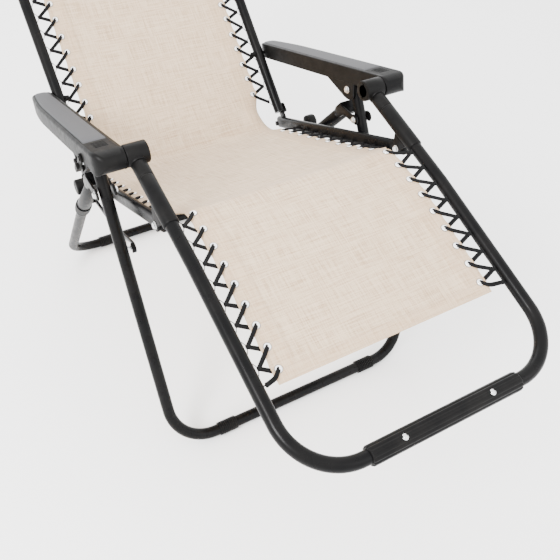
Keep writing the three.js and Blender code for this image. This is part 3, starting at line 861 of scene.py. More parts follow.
class Workshop:
    """Holds the trees and puts finished pieces on the frame's bodies."""

    def __init__(self) -> None:
        """Describe every tree once."""
        self.tubes = tube_tree()
        self.hardware = hardware_tree()
        self.eyelets = eyelet_tree()
        self.stitches = stitch_tree()
        self.sleeves = ribbed_sleeve_tree()
        self.count = 0

    def mount(self, obj: bpy.types.Object, body: str, finish: Finish, nodes: Sequence[str] = ()) -> bpy.types.Object:
        """Put a piece on a body.

        Args:
            obj: the piece.
            body: the body that it moves with.
            finish: its finish; not used.
            nodes: the CAD nodes that it stands for.

        Returns:
            The piece.
        """
        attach(obj, body)
        if nodes:
            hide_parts(*nodes)
        self.count += 1
        LOG.info("%s rides on %s: %d faces", obj.name, body, len(obj.data.polygons))
        return obj

    def tube(self, name: str, body: str, routes: Sequence[Sequence[Array]], radius: float, finish: Finish,
             nodes: Sequence[str] = (), sides: int = 40) -> bpy.types.Object:
        """Sweep a round tube along each route and mount it."""
        obj = self.tubes.grow(name, line_mesh(name, routes), finish, Radius=radius, Sides=sides)
        return self.mount(obj, body, finish, nodes)

    def repeat(self, name: str, body: str, template: Shape, places: Sequence[Array], facing: Sequence[Array],
               finish: Finish, nodes: Sequence[str] = (), heading: Sequence[Array] | None = None,
               bevel: float = 0.0) -> bpy.types.Object:
        """Repeat a template part on points and mount the result."""
        pattern = template.piece(f"{name}_template", finish, bevel=bevel)
        obj = self.hardware.grow(name, point_mesh(name, places, facing, heading), finish, Template=pattern)
        bpy.data.objects.remove(pattern)
        return self.mount(obj, body, finish, nodes)


def mirrored(build: Callable[[Side], None]) -> None:
    """Build something once for each side."""
    for side in Side:
        build(side)


def bolt_head(radius: float, height: float, hexagon: bool) -> Shape:
    """Return a bolt head that stands on the XY plane: a washer below, a hexagon or a domed head above."""
    z = np.array([0.0, 0.0, 1.0])
    washer = 0.0011
    shape = Shape().turned([z * h for h in (0.0, washer * 0.7, washer)],
                           [radius * 1.12, radius * 1.12, radius * 1.02], 28)
    if hexagon:
        shape.turned([z * h for h in (washer * 0.5, height * 0.82, height)],
                     [radius * 0.92, radius * 0.92, radius * 0.76], 6)
        shape.turned([z * h for h in (height * 0.5, height * 1.02, height * 1.12)],
                     [radius * 0.44, radius * 0.44, radius * 0.36], 20)
    else:
        domed = [(washer * 0.5, 0.9), (height * 0.45, 0.88), (height * 0.8, 0.68), (height * 0.98, 0.36)]
        shape.turned([z * h for h, _ in domed] + [z * height], [radius * r for _, r in domed] + [radius * 0.1], 24)
    return shape


X_AXIS = np.array([1.0, 0.0, 0.0])


@dataclass
class Bolts:
    """The pivot bolts of one body, all of one pattern."""

    shop: Workshop
    name: str
    body: str
    spot: Point2
    inner: float
    outer: float
    radius: float = 0.007
    height: float = 0.0046
    hexagon: bool = True
    finish: Finish = ZINC
    outer_too: bool = True

    def build(self, nodes: Sequence[str]) -> None:
        """Put a head on each end of the bolt, on both sides."""
        places, facing = [], []
        for side in Side:
            places.append(on(side.value * self.inner, self.spot))
            facing.append(-side.value * X_AXIS)
            if self.outer_too:
                places.append(on(side.value * self.outer, self.spot))
                facing.append(side.value * X_AXIS)
        self.shop.repeat(self.name, self.body, bolt_head(self.radius, self.height, self.hexagon),
                         places, facing, self.finish, nodes)


def both(stem: str) -> tuple[str, str]:
    """Return a node name's left and right forms."""
    return f"{stem}_left", f"{stem}_right"


@dataclass
class FrontLegs:
    """The U-shaped front leg frame with its floor sleeves and spreader studs."""

    shop: Workshop
    corner: float = 0.092
    overrun: float = 0.017
    sleeve_x: float = 0.190

    def build(self) -> None:
        """Build and mount every piece."""
        reach = float(np.linalg.norm(np.subtract(ARM_ON_LEG, FRONT_BAR))) + self.overrun
        top = FRONT_LEG.spot(reach)
        route = rounded([on(LEG_X, top), on(LEG_X, FRONT_BAR), on(-LEG_X, FRONT_BAR), on(-LEG_X, top)],
                        [self.corner, self.corner])
        self.shop.tube("front_leg_tube", "front_legs", [route], TUBE_R, STEEL, ["front_leg_frame"])
        sleeves(self.shop, "front", "front_legs", FRONT_BAR, self.sleeve_x)
        stud = Shape()
        for side in Side:
            stud.disc(side.value * 0.288, HOOK_STUD, 0.005, side.value * 0.0115)
        self.shop.mount(stud.piece("spreader_studs", ZINC), "front_legs", ZINC, both("spreader_stud"))


def sleeves(shop: Workshop, word: str, body: str, bar: Point2, centre_x: float) -> None:
    """Grow the ribbed floor sleeves of one leg frame."""
    places = [on(side.value * centre_x, bar) for side in Side]
    name = f"{word}_floor_sleeves"
    obj = shop.sleeves.grow(name, point_mesh(name, places, [X_AXIS] * 2), PLASTIC)
    shop.mount(obj, body, PLASTIC, both(f"{word}_floor_sleeve"))


@dataclass
class RearLegs:
    """The rear leg frame: lower U, swaged upper tubes, elbow collars and forks."""

    shop: Workshop
    corner: float = 0.082
    upper_r: float = 0.0159
    sleeve_x: float = 0.203
    cheek_inner: Point2 = (0.290, 0.2946)
    cheek_outer: Point2 = (0.3274, 0.332)

    def build(self) -> None:
        """Build and mount every piece."""
        start = REAR_LOWER.spot(0.006)
        route = rounded([on(LEG_X, start), on(LEG_X, REAR_BAR), on(-LEG_X, REAR_BAR), on(-LEG_X, start)],
                        [self.corner, self.corner])
        self.shop.tube("rear_leg_tube", "rear_legs", [route], TUBE_R, STEEL, ["rear_leg_frame"])
        self.upper_tubes()
        self.collars()
        self.forks()
        sleeves(self.shop, "rear", "rear_legs", REAR_BAR, self.sleeve_x)
        Bolts(self.shop, "fork_bolts", "rear_legs", FORK, 0.2898, 0.3322).build(both("fork_bolt"))

    def upper_tubes(self) -> None:
        """Build the swaged tubes between the forks and the elbows."""
        length = float(np.linalg.norm(np.subtract(ELBOW, REAR_TOP)))
        shape = Shape()
        marks = [(0.0, -0.001), (0.0015, 0.0), (length - 0.005, 0.0), (length - 0.004, -0.001)]
        for side in Side:
            x = side.value * LEG_X
            shape.turned([REAR_UPPER.at(x, s) for s, _ in marks], [self.upper_r + d for _, d in marks], 40)
        self.shop.mount(shape.piece("rear_leg_upper_tubes", STEEL), "rear_legs", STEEL, both("rear_leg_upper_tube"))

    def collars(self) -> None:
        """Build the elbow collars: a cup over the upper tube with a dark groove, then a lip round the lower one."""
        shape = Shape()
        length = float(np.linalg.norm(np.subtract(ELBOW, REAR_TOP)))
        for side in Side:
            x = side.value * LEG_X
            into = [REAR_UPPER.at(x, length + s) for s in (-0.0165, -0.0155, -0.003)]
            out = [REAR_LOWER.at(x, s) for s in (0.003, 0.016, 0.0185, 0.0188, 0.0212, 0.0215, 0.025, 0.026)]
            radii = [0.0172, 0.0184, 0.0185, 0.0185, 0.0183, 0.0178, 0.0158, 0.0158, 0.0176, 0.0174, 0.0150]
            shape.turned(into + out, radii, 40)
        self.shop.mount(shape.piece("rear_leg_elbows", PLASTIC), "rear_legs", PLASTIC, both("rear_leg_elbow"))

    def forks(self) -> None:
        """Build the pressed fork that straddles the front leg on each side."""
        heading = math.degrees(math.atan2(REAR_UPPER.along[1], REAR_UPPER.along[0]))
        cheek = arc(FORK, 0.013, heading + 90, heading + 270, 14)
        cheek += [REAR_UPPER.spot(s, h) for s, h in ((0.002, -0.0145), (0.020, -0.0135), (0.032, -0.008),
                                                    (0.036, 0.0), (0.032, 0.008), (0.020, 0.0135), (0.002, 0.0145))]
        crown = [REAR_UPPER.spot(s, h) for s, h in ((-0.005, -0.0145), (0.0, -0.0145), (0.0, 0.0145), (-0.005, 0.0145))]
        shape = Shape()
        for side in Side:
            for x0, x1 in (self.cheek_inner, self.cheek_outer):
                shape.prism(cheek, side.value * x0, side.value * x1)
            shape.prism(crown, side.value * 0.2905, side.value * 0.3315)
        self.shop.mount(shape.piece("rear_leg_forks", STEEL, bevel=0.0012), "rear_legs", STEEL, both("rear_leg_fork"))


@dataclass
class SpreaderHook:
    """One curved hook blade from the rear leg over the stud of the front leg."""

    shop: Workshop
    side: Side
    sag: float = 0.011
    mouth: float = 0.0075
    lip: float = 0.005
    blade: Point2 = (0.2836, 0.2874)
    lip_outer: float = 0.2925

    def build(self) -> None:
        """Build and mount the hook."""
        line = SideLine(HOOK_PIVOT, HOOK_STUD, flip=True)
        span = float(np.linalg.norm(np.subtract(HOOK_STUD, HOOK_PIVOT)))
        heading = math.degrees(math.atan2(line.along[1], line.along[0]))
        count = 16

        def edge(i: int, way: float) -> Array:
            """Return a place on the blade's upper or lower edge."""
            part = i / count
            middle = self.sag * math.sin(math.pi * part) - (self.mouth + self.lip / 2) * part ** 2
            return line.spot(span * part, -(middle + way * (0.0068 - 0.0030 * part)))

        hook = arc(HOOK_STUD, self.mouth + self.lip, heading - 80, heading + 40, 14)
        hook += arc(HOOK_STUD, self.mouth, heading - 80, heading + 40, 14)[::-1]
        outline = arc(HOOK_PIVOT, 0.010, heading + 90, heading + 270, 14)
        outline += [edge(i, -1) for i in range(1, count)] + hook + [edge(i, 1) for i in range(count - 1, 0, -1)]
        sign = self.side.value
        shape = Shape().prism(outline, sign * self.blade[0], sign * self.blade[1])
        shape.prism(hook, sign * (self.blade[1] - 0.001), sign * self.lip_outer)
        shape.disc(sign * 0.2824, HOOK_PIVOT, 0.006, sign * 0.0125)
        name = f"spreader_hook_{self.side.word}"
        piece = shape.piece(f"{name}_blade", STEEL, bevel=0.0008)
        self.shop.mount(piece, name, STEEL, [name])


@dataclass
class BackFrame:
    """The back tube with its hinge straps, hip bolts and armrest bolts."""

    shop: Workshop
    corner: float = 0.105
    start: float = 0.0286
    eye_r: float = 0.0125

    def build(self) -> None:
        """Build and mount every piece."""
        ends = [BACK.at(BACK_X, self.start), BACK.at(-BACK_X, self.start)]
        corners = [BACK.at(BACK_X, BACK_LENGTH), BACK.at(-BACK_X, BACK_LENGTH)]
        route = rounded([ends[0], *corners, ends[1]], [self.corner, self.corner])
        self.shop.tube("back_tube", "back", [route], TUBE_R, STEEL, ["back_frame"])
        self.straps()
        self.pivots()

    def straps(self) -> None:
        """Build the cranked hinge straps: a lower plate on the pivot, a knuckle and a plate beside the tube."""
        shape = Shape()
        heading = math.degrees(BACK_ANGLE)
        eye = arc(HIP, self.eye_r, heading + 90, heading + 270, 16)
        lower = eye + [BACK.spot(0.0280, -0.0110), BACK.spot(0.0280, 0.0110)]
        knuckle = [BACK.spot(s, h) for s, h in ((0.0236, -0.0110), (0.0278, -0.0110),
                                                (0.0278, 0.0110), (0.0236, 0.0110))]
        tail = arc(BACK.spot(0.0400), 0.010, heading - 90, heading + 90, 16)
        upper = [BACK.spot(0.0238, 0.0105), BACK.spot(0.0238, -0.0105)] + tail
        for side in Side:
            w = side.value
            shape.prism(lower, w * 0.2776, w * 0.2814)
            shape.prism(knuckle, w * 0.2778, w * 0.2902)
            shape.prism(upper, w * 0.2868, w * 0.2904)
            shape.disc(w * 0.2900, BACK.spot(0.0430), 0.0055, w * 0.0019)
        self.shop.mount(shape.piece("back_hinge_straps", STEEL, bevel=0.001), "back", STEEL, both("back_hinge_strap"))

    def pivots(self) -> None:
        """Build the domed hip bolts and the armrest bolts' nubs."""
        bolt, nub = Shape(), Shape()
        for side in Side:
            w = side.value
            marks = [(0.2816, 0.0083), (0.2824, 0.0086), (0.2840, 0.0082), (0.2854, 0.0066), (0.2862, 0.0036),
                     (0.2864, 0.0006)]
            bolt.lathe(HIP, w, marks, 32)
            bolt.disc(w * 0.2524, HIP, 0.007, w * 0.0042, sides=6)
            marks = [(0.2500, 0.0048), (0.2504, 0.0060), (0.2515, 0.0065), (0.2560, 0.0065), (0.2606, 0.0078)]
            nub.lathe(ARM_REAR, w, marks, 32)
            nub.disc(w * 0.2860, ARM_REAR, 0.0040, w * 0.012)
        self.shop.mount(bolt.piece("hip_pivot_bolts", PLASTIC), "back", PLASTIC, both("hip_pivot_bolt"))
        self.shop.mount(nub.piece("armrest_rear_bolts", PLASTIC), "back", PLASTIC, both("armrest_rear_bolt"))


@dataclass
class SeatRails:
    """The flattened seat rails with their knee bolts and stop rollers."""

    shop: Workshop
    width: float = 0.015
    height: float = 0.030
    crease: float = 0.0006
    roller_s: float = 0.0786

    def build(self) -> None:
        """Build and mount every piece."""
        shape = Shape()
        length = float(np.linalg.norm(np.subtract(KNEE, HIP)))
        flat = self.height / 2 - self.width / 2
        section = [(self.width / 2 * math.cos(a), flat + self.width / 2 * math.sin(a))
                   for a in np.linspace(0, math.pi, 13)]
        section += [(-self.width / 2, flat * 0.5), (-self.width / 2 + self.crease, 0.0), (-self.width / 2, -flat * 0.5)]
        section += [(self.width / 2 * math.cos(a), -flat + self.width / 2 * math.sin(a))
                    for a in np.linspace(math.pi, 2 * math.pi, 13)]
        section += [(self.width / 2, -flat * 0.5), (self.width / 2 - self.crease, 0.0), (self.width / 2, flat * 0.5)]
        marks = [(-0.014, 0.72), (-0.0125, 0.92), (-0.010, 1.0), (length + 0.010, 1.0), (length + 0.0125, 0.92),
                 (length + 0.014, 0.72)]
        for side in Side:
            shape.loft([[RAIL.at(side.value * RAIL_X + x * k, s, h * k) for x, h in section] for s, k in marks])
        self.shop.mount(shape.piece("seat_rails", STEEL, sharp=50), "seat", STEEL, both("seat_rail"))
        Bolts(self.shop, "knee_bolts", "seat", KNEE, 0.2568, 0.2822).build(both("knee_bolt"))
        self.rollers()

    def rollers(self) -> None:
        """Build the stop rollers that stand out from the rails and come to rest on the rear legs."""
        shape = Shape()
        spot = RAIL.spot(self.roller_s)
        marks = [(0.3002, 0.0165), (0.3008, 0.0176), (0.3022, 0.0180), (0.3180, 0.0180), (0.3206, 0.0172),
                 (0.3217, 0.0150), (0.3219, 0.0118), (0.3208, 0.0110), (0.3208, 0.0034), (0.3212, 0.0006)]
        for side in Side:
            w = side.value
            shape.lathe(spot, w, marks, 48)
            shape.disc(w * 0.2776, spot, 0.0058, w * 0.0240)
        self.shop.mount(shape.piece("stop_rollers", PLASTIC), "seat", PLASTIC, both("stop_roller"))


@dataclass
class LegRest:
    """The bent leg-rest frame with knee sleeves, top barrels and the foot grip."""

    shop: Workshop
    bend: float = 0.150
    corner: float = 0.105
    top_overlap: float = 0.009

    def centreline(self) -> list[Array]:
        """Return the route of the frame's tube."""
        top = THIGH.spot(self.top_overlap)
        x = LEGREST_X
        return rounded([on(x, top), on(x, LEG_BEND), on(x, FOOT_BAR), on(-x, FOOT_BAR), on(-x, LEG_BEND), on(-x, top)],
                       [self.bend, self.corner, self.corner, self.bend])

    def build(self) -> None:
        """Build and mount every piece."""
        self.shop.tube("legrest_tube", "leg_rest", [self.centreline()], TUBE_R, STEEL, ["legrest_frame"])
        self.knee_sleeves()
        self.barrels()
        self.foot_grip()

    def knee_sleeves(self) -> None:
        """Build the moulded sleeves whose lugs hold the seat rails."""
        foot = float(np.subtract(KNEE, LEG_TOP) @ THIGH.along)
        lug = arc(KNEE, 0.013, 160, 340, 14) + [THIGH.spot(foot - 0.024), THIGH.spot(foot + 0.024)]
        shape = Shape()
        marks = [(0.0222, 0.0140), (0.0226, 0.0150), (0.0236, 0.0154), (0.0560, 0.0154), (0.0564, 0.0147),
                 (0.0572, 0.0147),
                 (0.0576, 0.0154), (foot + 0.031, 0.0154), (foot + 0.033, 0.0149), (foot + 0.034, 0.0136)]
        for side in Side:
            w = side.value
            shape.turned([THIGH.at(w * LEGREST_X, s) for s, _ in marks], [r for _, r in marks], 40)
            for x0, x1 in ((0.257, 0.2612), (0.2778, 0.282)):
                shape.prism(lug, w * x0, w * x1)
        self.shop.mount(shape.piece("knee_sleeves", PLASTIC, bevel=0.0008), "leg_rest", PLASTIC, both("knee_sleeve"))

    def barrels(self) -> None:
        """Build the T-shaped barrels at the tops of the tubes, with their bolts in recesses."""
        barrel = Shape()
        marks = [(0.2495, 0.0005), (0.2495, 0.0108), (0.2436, 0.0112), (0.2430, 0.0125), (0.2430, 0.0196),
                 (0.2436, 0.0210), (0.2450, 0.0215), (0.2850, 0.0215), (0.2868, 0.0206), (0.2874, 0.0188)]
        collar = [(0.004, 0.0162), (0.0170, 0.0164), (0.0205, 0.0162), (0.0214, 0.0156), (0.0217, 0.0136)]
        for side in Side:
            w = side.value
            barrel.lathe(ARM_FRONT, w, marks, 48)
            barrel.turned([THIGH.at(w * LEGREST_X, s) for s, _ in collar], [r for _, r in collar], 40)
        self.shop.mount(barrel.piece("leg_top_barrels", PLASTIC), "leg_rest", PLASTIC, both("leg_top_barrel"))
        Bolts(self.shop, "barrel_bolts", "leg_rest", ARM_FRONT, 0.2494, 0.0, radius=0.0075,
              outer_too=False).build(both("barrel_bolt"))

    def foot_grip(self) -> None:
        """Build the ribbed grip round the foot bar and the screws that hold it."""
        half, ribs, low, high = 0.155, 14, 0.0162, 0.0173
        ring = []
        for i in range(ribs * 8):
            wave = 0.5 + 0.5 * math.cos(2 * math.pi * i / 8)
            radius = low + (high - low) * min(1.0, 1.5 * wave)
            angle = 2 * math.pi * i / (ribs * 8)
            ring.append((radius * math.cos(angle), radius * math.sin(angle)))
        marks = [(-half, 0.90), (-half + 0.001, 0.975), (-half + 0.003, 1.0), (half - 0.003, 1.0),
                 (half - 0.001, 0.975), (half, 0.90)]
        shape = Shape().loft([[np.array([x, FOOT_BAR[0] + k * y, FOOT_BAR[1] + k * z]) for y, z in ring]
                              for x, k in marks])
        self.shop.mount(shape.piece("foot_grip_sheath", PLASTIC, sharp=60), "leg_rest", PLASTIC, ["foot_grip"])
        lift = -np.array([-SHIN.along[1], SHIN.along[0]])
        lift = lift if lift[1] > 0 else -lift
        places = [on(side.value * 0.091, np.asarray(FOOT_BAR) + lift * 0.0158) for side in Side]
        facing = [np.array([0.0, *lift])] * 2
        self.shop.repeat("foot_grip_screws", "leg_rest", bolt_head(0.0048, 0.0026, False), places, facing, ZINC,
                         both("foot_grip_screw"))


# ---- armrests ------------------------------------------------------------------------------


@dataclass
class Armrest:
    """One moulded armrest: a shell hollow from below, a fin round the leg, a pad and its details."""

    shop: Workshop
    side: Side
    length: float = 0.541
    inner: float = 0.288
    outer: float = 0.348
    top: float = 0.022
    bottom: float = -0.014
    wall: float = 0.0042
    pad_front: float = 0.066
    pad_inset: float = 0.0074
    pocket: float = 0.003

    def inner_x(self, s: float) -> float:
        """Return the lateral place of the inner edge."""
        rear = self.length
        return float(np.interp(s, [-0.022, -0.018, -0.012, rear - 0.034, rear - 0.020, rear - 0.008, rear - 0.002,
                                   rear],
                               [self.inner + d for d in (0.0012, 0.0004, 0, 0, 0.0022, 0.0070, 0.0130, 0.0175)]))

    def outer_x(self, s: float) -> float:
        """Return the lateral place of the outer edge."""
        rear = self.length
        return float(np.interp(s, [-0.022, -0.0205, -0.0175, -0.0125, -0.0055, 0.003, 0.012, rear - 0.17, rear - 0.12,
                                   rear - 0.08, rear - 0.045, rear - 0.022, rear - 0.009, rear - 0.003, rear],
                               [self.outer + d for d in (-0.0215, -0.0165, -0.0115, -0.0066, -0.0028, -0.0006, 0, 0,
                                                         -0.0020, -0.0055, -0.0095, -0.0132, -0.0170, -0.0205,
                                                         -0.0235)]))

    def heights(self, s: float) -> tuple[float, float]:
        """Return the top and bottom of the shell."""
        rear = self.length
        if s < 0:
            reach = math.sqrt(max(0.022 ** 2 - s ** 2, 0.0015 ** 2))
            return reach, -reach
        top = float(np.interp(s, [0, rear - 0.020, rear - 0.010, rear - 0.004, rear - 0.001, rear],
                              [self.top, self.top, 0.0203, 0.0165, 0.0120, 0.0085]))
        low = float(np.interp(s, [0, 0.010, 0.020, 0.032, 0.044, rear - 0.03, rear - 0.012, rear - 0.003, rear],
                              [-0.022, -0.0208, -0.0175, -0.0150, self.bottom, self.bottom, -0.0105, -0.005, -0.0012]))
        return top, low

    def section(self, s: float) -> list[Array]:
        """Return the shell's outline at one station, round the outside and back through the hollow."""
        xi, xo = self.inner_x(s), self.outer_x(s)
        top, low = self.heights(s)
        room = min(1.0, (top - low) / 0.03)
        ri, ro = 0.0030 * room, 0.0068 * room
        in_pad = self.pad_front - 0.0005 <= s <= self.length - 0.0068
        deep = self.pocket if in_pad else 0.0
        inset = min(self.pad_inset, 0.36 * (xo - xi))
        hollow = 0.03 < s < self.length - 0.03
        roof = top - self.pocket - 0.003 if hollow else low + 0.0006
        wall = min(self.wall, 0.25 * (xo - xi))
        points = [(xi, low + 0.0008)]
        points += [(xi + ri * (1 - math.cos(a)), top - ri * (1 - math.sin(a))) for a in np.linspace(0, math.pi / 2, 5)]
        points += [(xi + inset - 0.0006, top), (xi + inset, top - min(deep, 0.0006)), (xi + inset, top - deep),
                   (xo - inset, top - deep), (xo - inset, top - min(deep, 0.0006)), (xo - inset + 0.0006, top)]
        points += [(xo - ro * (1 - math.sin(a)), top - ro * (1 - math.cos(a))) for a in np.linspace(0, math.pi / 2, 7)]
        points += [(xo, low + 0.0008), (xo - 0.0008, low), (xo - wall, low), (xo - wall, roof), (xi + wall, roof),
                   (xi + wall, low), (xi + 0.0008, low)]
        return [ARM.at(self.side.value * x, s, h) for x, h in points]

    def build(self) -> None:
        """Build and mount every piece of the armrest."""
        word = self.side.word
        front = [-0.0219, -0.0215, -0.0205, -0.0190, -0.0170, -0.0145, -0.0115, -0.0080, -0.0040, 0.0, 0.006, 0.012]
        middle = [0.02, 0.0295, 0.0305, 0.045, self.pad_front - 0.0012, self.pad_front - 0.0004, 0.10, 0.2, 0.3, 0.385]
        rear = [self.length - d for d in (0.12, 0.09, 0.06, 0.045, 0.0305, 0.0295, 0.022, 0.016, 0.012, 0.0082,
                                         0.0069, 0.0062, 0.004, 0.002, 0.0008, 0.0)]
        shell = Shape().loft([self.section(s) for s in front + middle + rear])
        self.fin(shell)
        piece = shell.piece(f"armrest_{word}_shell", PLASTIC, sharp=32)
        self.shop.mount(piece, "armrests", PLASTIC, [f"armrest_shell_{word}"])
        self.pad()
        self.grip_ribs()

    def fin(self, shell: Shape) -> None:
        """Add the fin's two plates and its front flange."""
        w = self.side.value
        inside = [(0.1005, -0.010), (0.104, -0.044), (0.1115, -0.0505), (0.1180, -0.0520), (0.1260, -0.0518),
                  (0.1380, -0.0480), (0.1480, -0.0425), (0.204, -0.0135), (0.204, -0.010)]
        outside = [(0.058, -0.010), (0.060, -0.0235), (0.098, -0.044), (0.1115, -0.0505), (0.1180, -0.0520),
                   (0.1260, -0.0518), (0.1380, -0.0480), (0.1480, -0.0425), (0.204, -0.0135), (0.204, -0.010)]
        shell.prism([ARM.spot(s, h) for s, h in inside], w * 0.2882, w * 0.2924)
        shell.prism([ARM.spot(s, h) for s, h in outside], w * 0.3318, w * 0.3358)
        flange = [(0.056, -0.012), (0.0595, -0.0242), (0.0980, -0.0445), (0.1115, -0.0505), (0.1125, -0.0482),
                  (0.0995, -0.0420), (0.0625, -0.0222), (0.0600, -0.012)]
        shell.prism([ARM.spot(s, h) for s, h in flange], w * 0.3340, w * 0.3440)
        for s in (0.124, 0.142, 0.160):
            low = float(np.interp(s, [0.126, 0.148, 0.204], [-0.0505, -0.0415, -0.0130]))
            rib = [(s, -0.013), (s + 0.0022, -0.013), (s + 0.0022, low), (s, low - 0.0003)]
            shell.prism([ARM.spot(a, b) for a, b in rib], w * 0.3350, w * 0.3405)

    def pad(self) -> None:
        """Build the crowned pad that lies in the shell's pocket."""
        inset = self.pad_inset + 0.0005
        front, rear = self.pad_front + 0.0004, self.length - 0.0075
        stations = [front, front + 0.0006, front + 0.002, front + 0.0045, 0.10, 0.20, 0.30, 0.385, 0.42, 0.45, 0.48,
                    0.50, 0.515, rear - 0.010, rear - 0.005, rear - 0.002, rear - 0.0006, rear]
        rings = []
        for s in stations:
            from_end = min(s - front, rear - s)
            lift = 0.0022 * math.sin(min(1.0, from_end / 0.0045) * math.pi / 2) - 0.0006
            top = self.heights(s)[0]
            xi, xo = self.inner_x(s) + inset, self.outer_x(s) - inset
            if xo - xi < 0.010:
                xi, xo = (xi + xo) / 2 - 0.005, (xi + xo) / 2 + 0.005
            base = top - self.pocket + 0.0003
            marks = [(0.0, base), (0.0, top - 0.0006), (0.0006, top + lift * 0.45), (0.0018, top + lift * 0.82),
                     (0.0040, top + lift)]
            width = xo - xi
            ring = [(xi + d, h) for d, h in marks]
            ring += [(xi + 0.3 * width, top + lift + 0.0003), (xi + 0.7 * width, top + lift + 0.0003)]
            ring += [(xo - d, h) for d, h in reversed(marks)]
            rings.append([ARM.at(self.side.value * x, s, h) for x, h in ring])
        word = self.side.word
        piece = Shape().loft(rings).piece(f"armrest_{word}_pad", PAD, sharp=50)
        self.shop.mount(piece, "armrests", PAD, [f"armrest_pad_{word}"])

    def grip_ribs(self) -> None:
        """Put short raised ribs across the shell in front of the pad."""
        bar = Shape().turned([np.array([x, 0.0, 0.0]) for x in (-0.0135, -0.013, -0.0115, 0.0115, 0.013, 0.0135)],
                             [0.0003, 0.0007, 0.0011, 0.0011, 0.0007, 0.0003], 8)
        middle = self.side.value * (self.inner + self.outer) / 2
        places = [ARM.at(middle, s, self.top - 0.0002) for s in (0.024, 0.031, 0.038, 0.045, 0.052)]
        up = np.array([0.0, *ARM.up])
        self.shop.repeat(f"armrest_{self.side.word}_ribs", "armrests", bar, places, [up] * len(places), PLASTIC,
                         heading=[X_AXIS] * len(places))


@dataclass
class LockLever:
    """The lever on the outer face of an armrest's fin."""

    shop: Workshop
    side: Side
    pivot: Point2 = (0.074, -0.006)
    tip: Point2 = (0.104, -0.035)
    face: float = 0.3484

    def strap(self, start: Array, end: Array, first: float, last: float) -> list[Array]:
        """Return the outline of a strap with round ends."""
        heading = math.degrees(math.atan2(end[1] - start[1], end[0] - start[0]))
        return arc(start, first, heading + 90, heading + 270, 12) + arc(end, last, heading - 90, heading + 90, 12)

    def build(self) -> None:
        """Build and mount the lever."""
        w, word = self.side.value, self.side.word
        pivot, tip = ARM.spot(*self.pivot), ARM.spot(*self.tip)
        shape = Shape().prism(self.strap(pivot, tip, 0.009, 0.006), w * self.face, w * (self.face + 0.0042))
        thumb = pivot + (tip - pivot) * 0.72
        shape.prism(self.strap(thumb, tip, 0.0065, 0.006), w * (self.face + 0.003), w * (self.face + 0.0094))
        shape.disc(w * 0.341, pivot, 0.0035, w * 0.009)
        shape.disc(w * (self.face + 0.0038), pivot, 0.0052, w * 0.0022)
        piece = shape.piece(f"lock_lever_{word}_arm", PLASTIC, bevel=0.0011, segments=3)
        self.shop.mount(piece, f"lock_lever_{word}", PLASTIC, [f"lock_lever_{word}"])


# ---- sling ---------------------------------------------------------------------------------


def smoothstep(value: float | Array, low: float, high: float) -> float | Array:
    """Return 0 below low, 1 above high and a smooth rise between."""
    t = np.clip((value - low) / (high - low), 0.0, 1.0)
    return t * t * (3 - 2 * t)


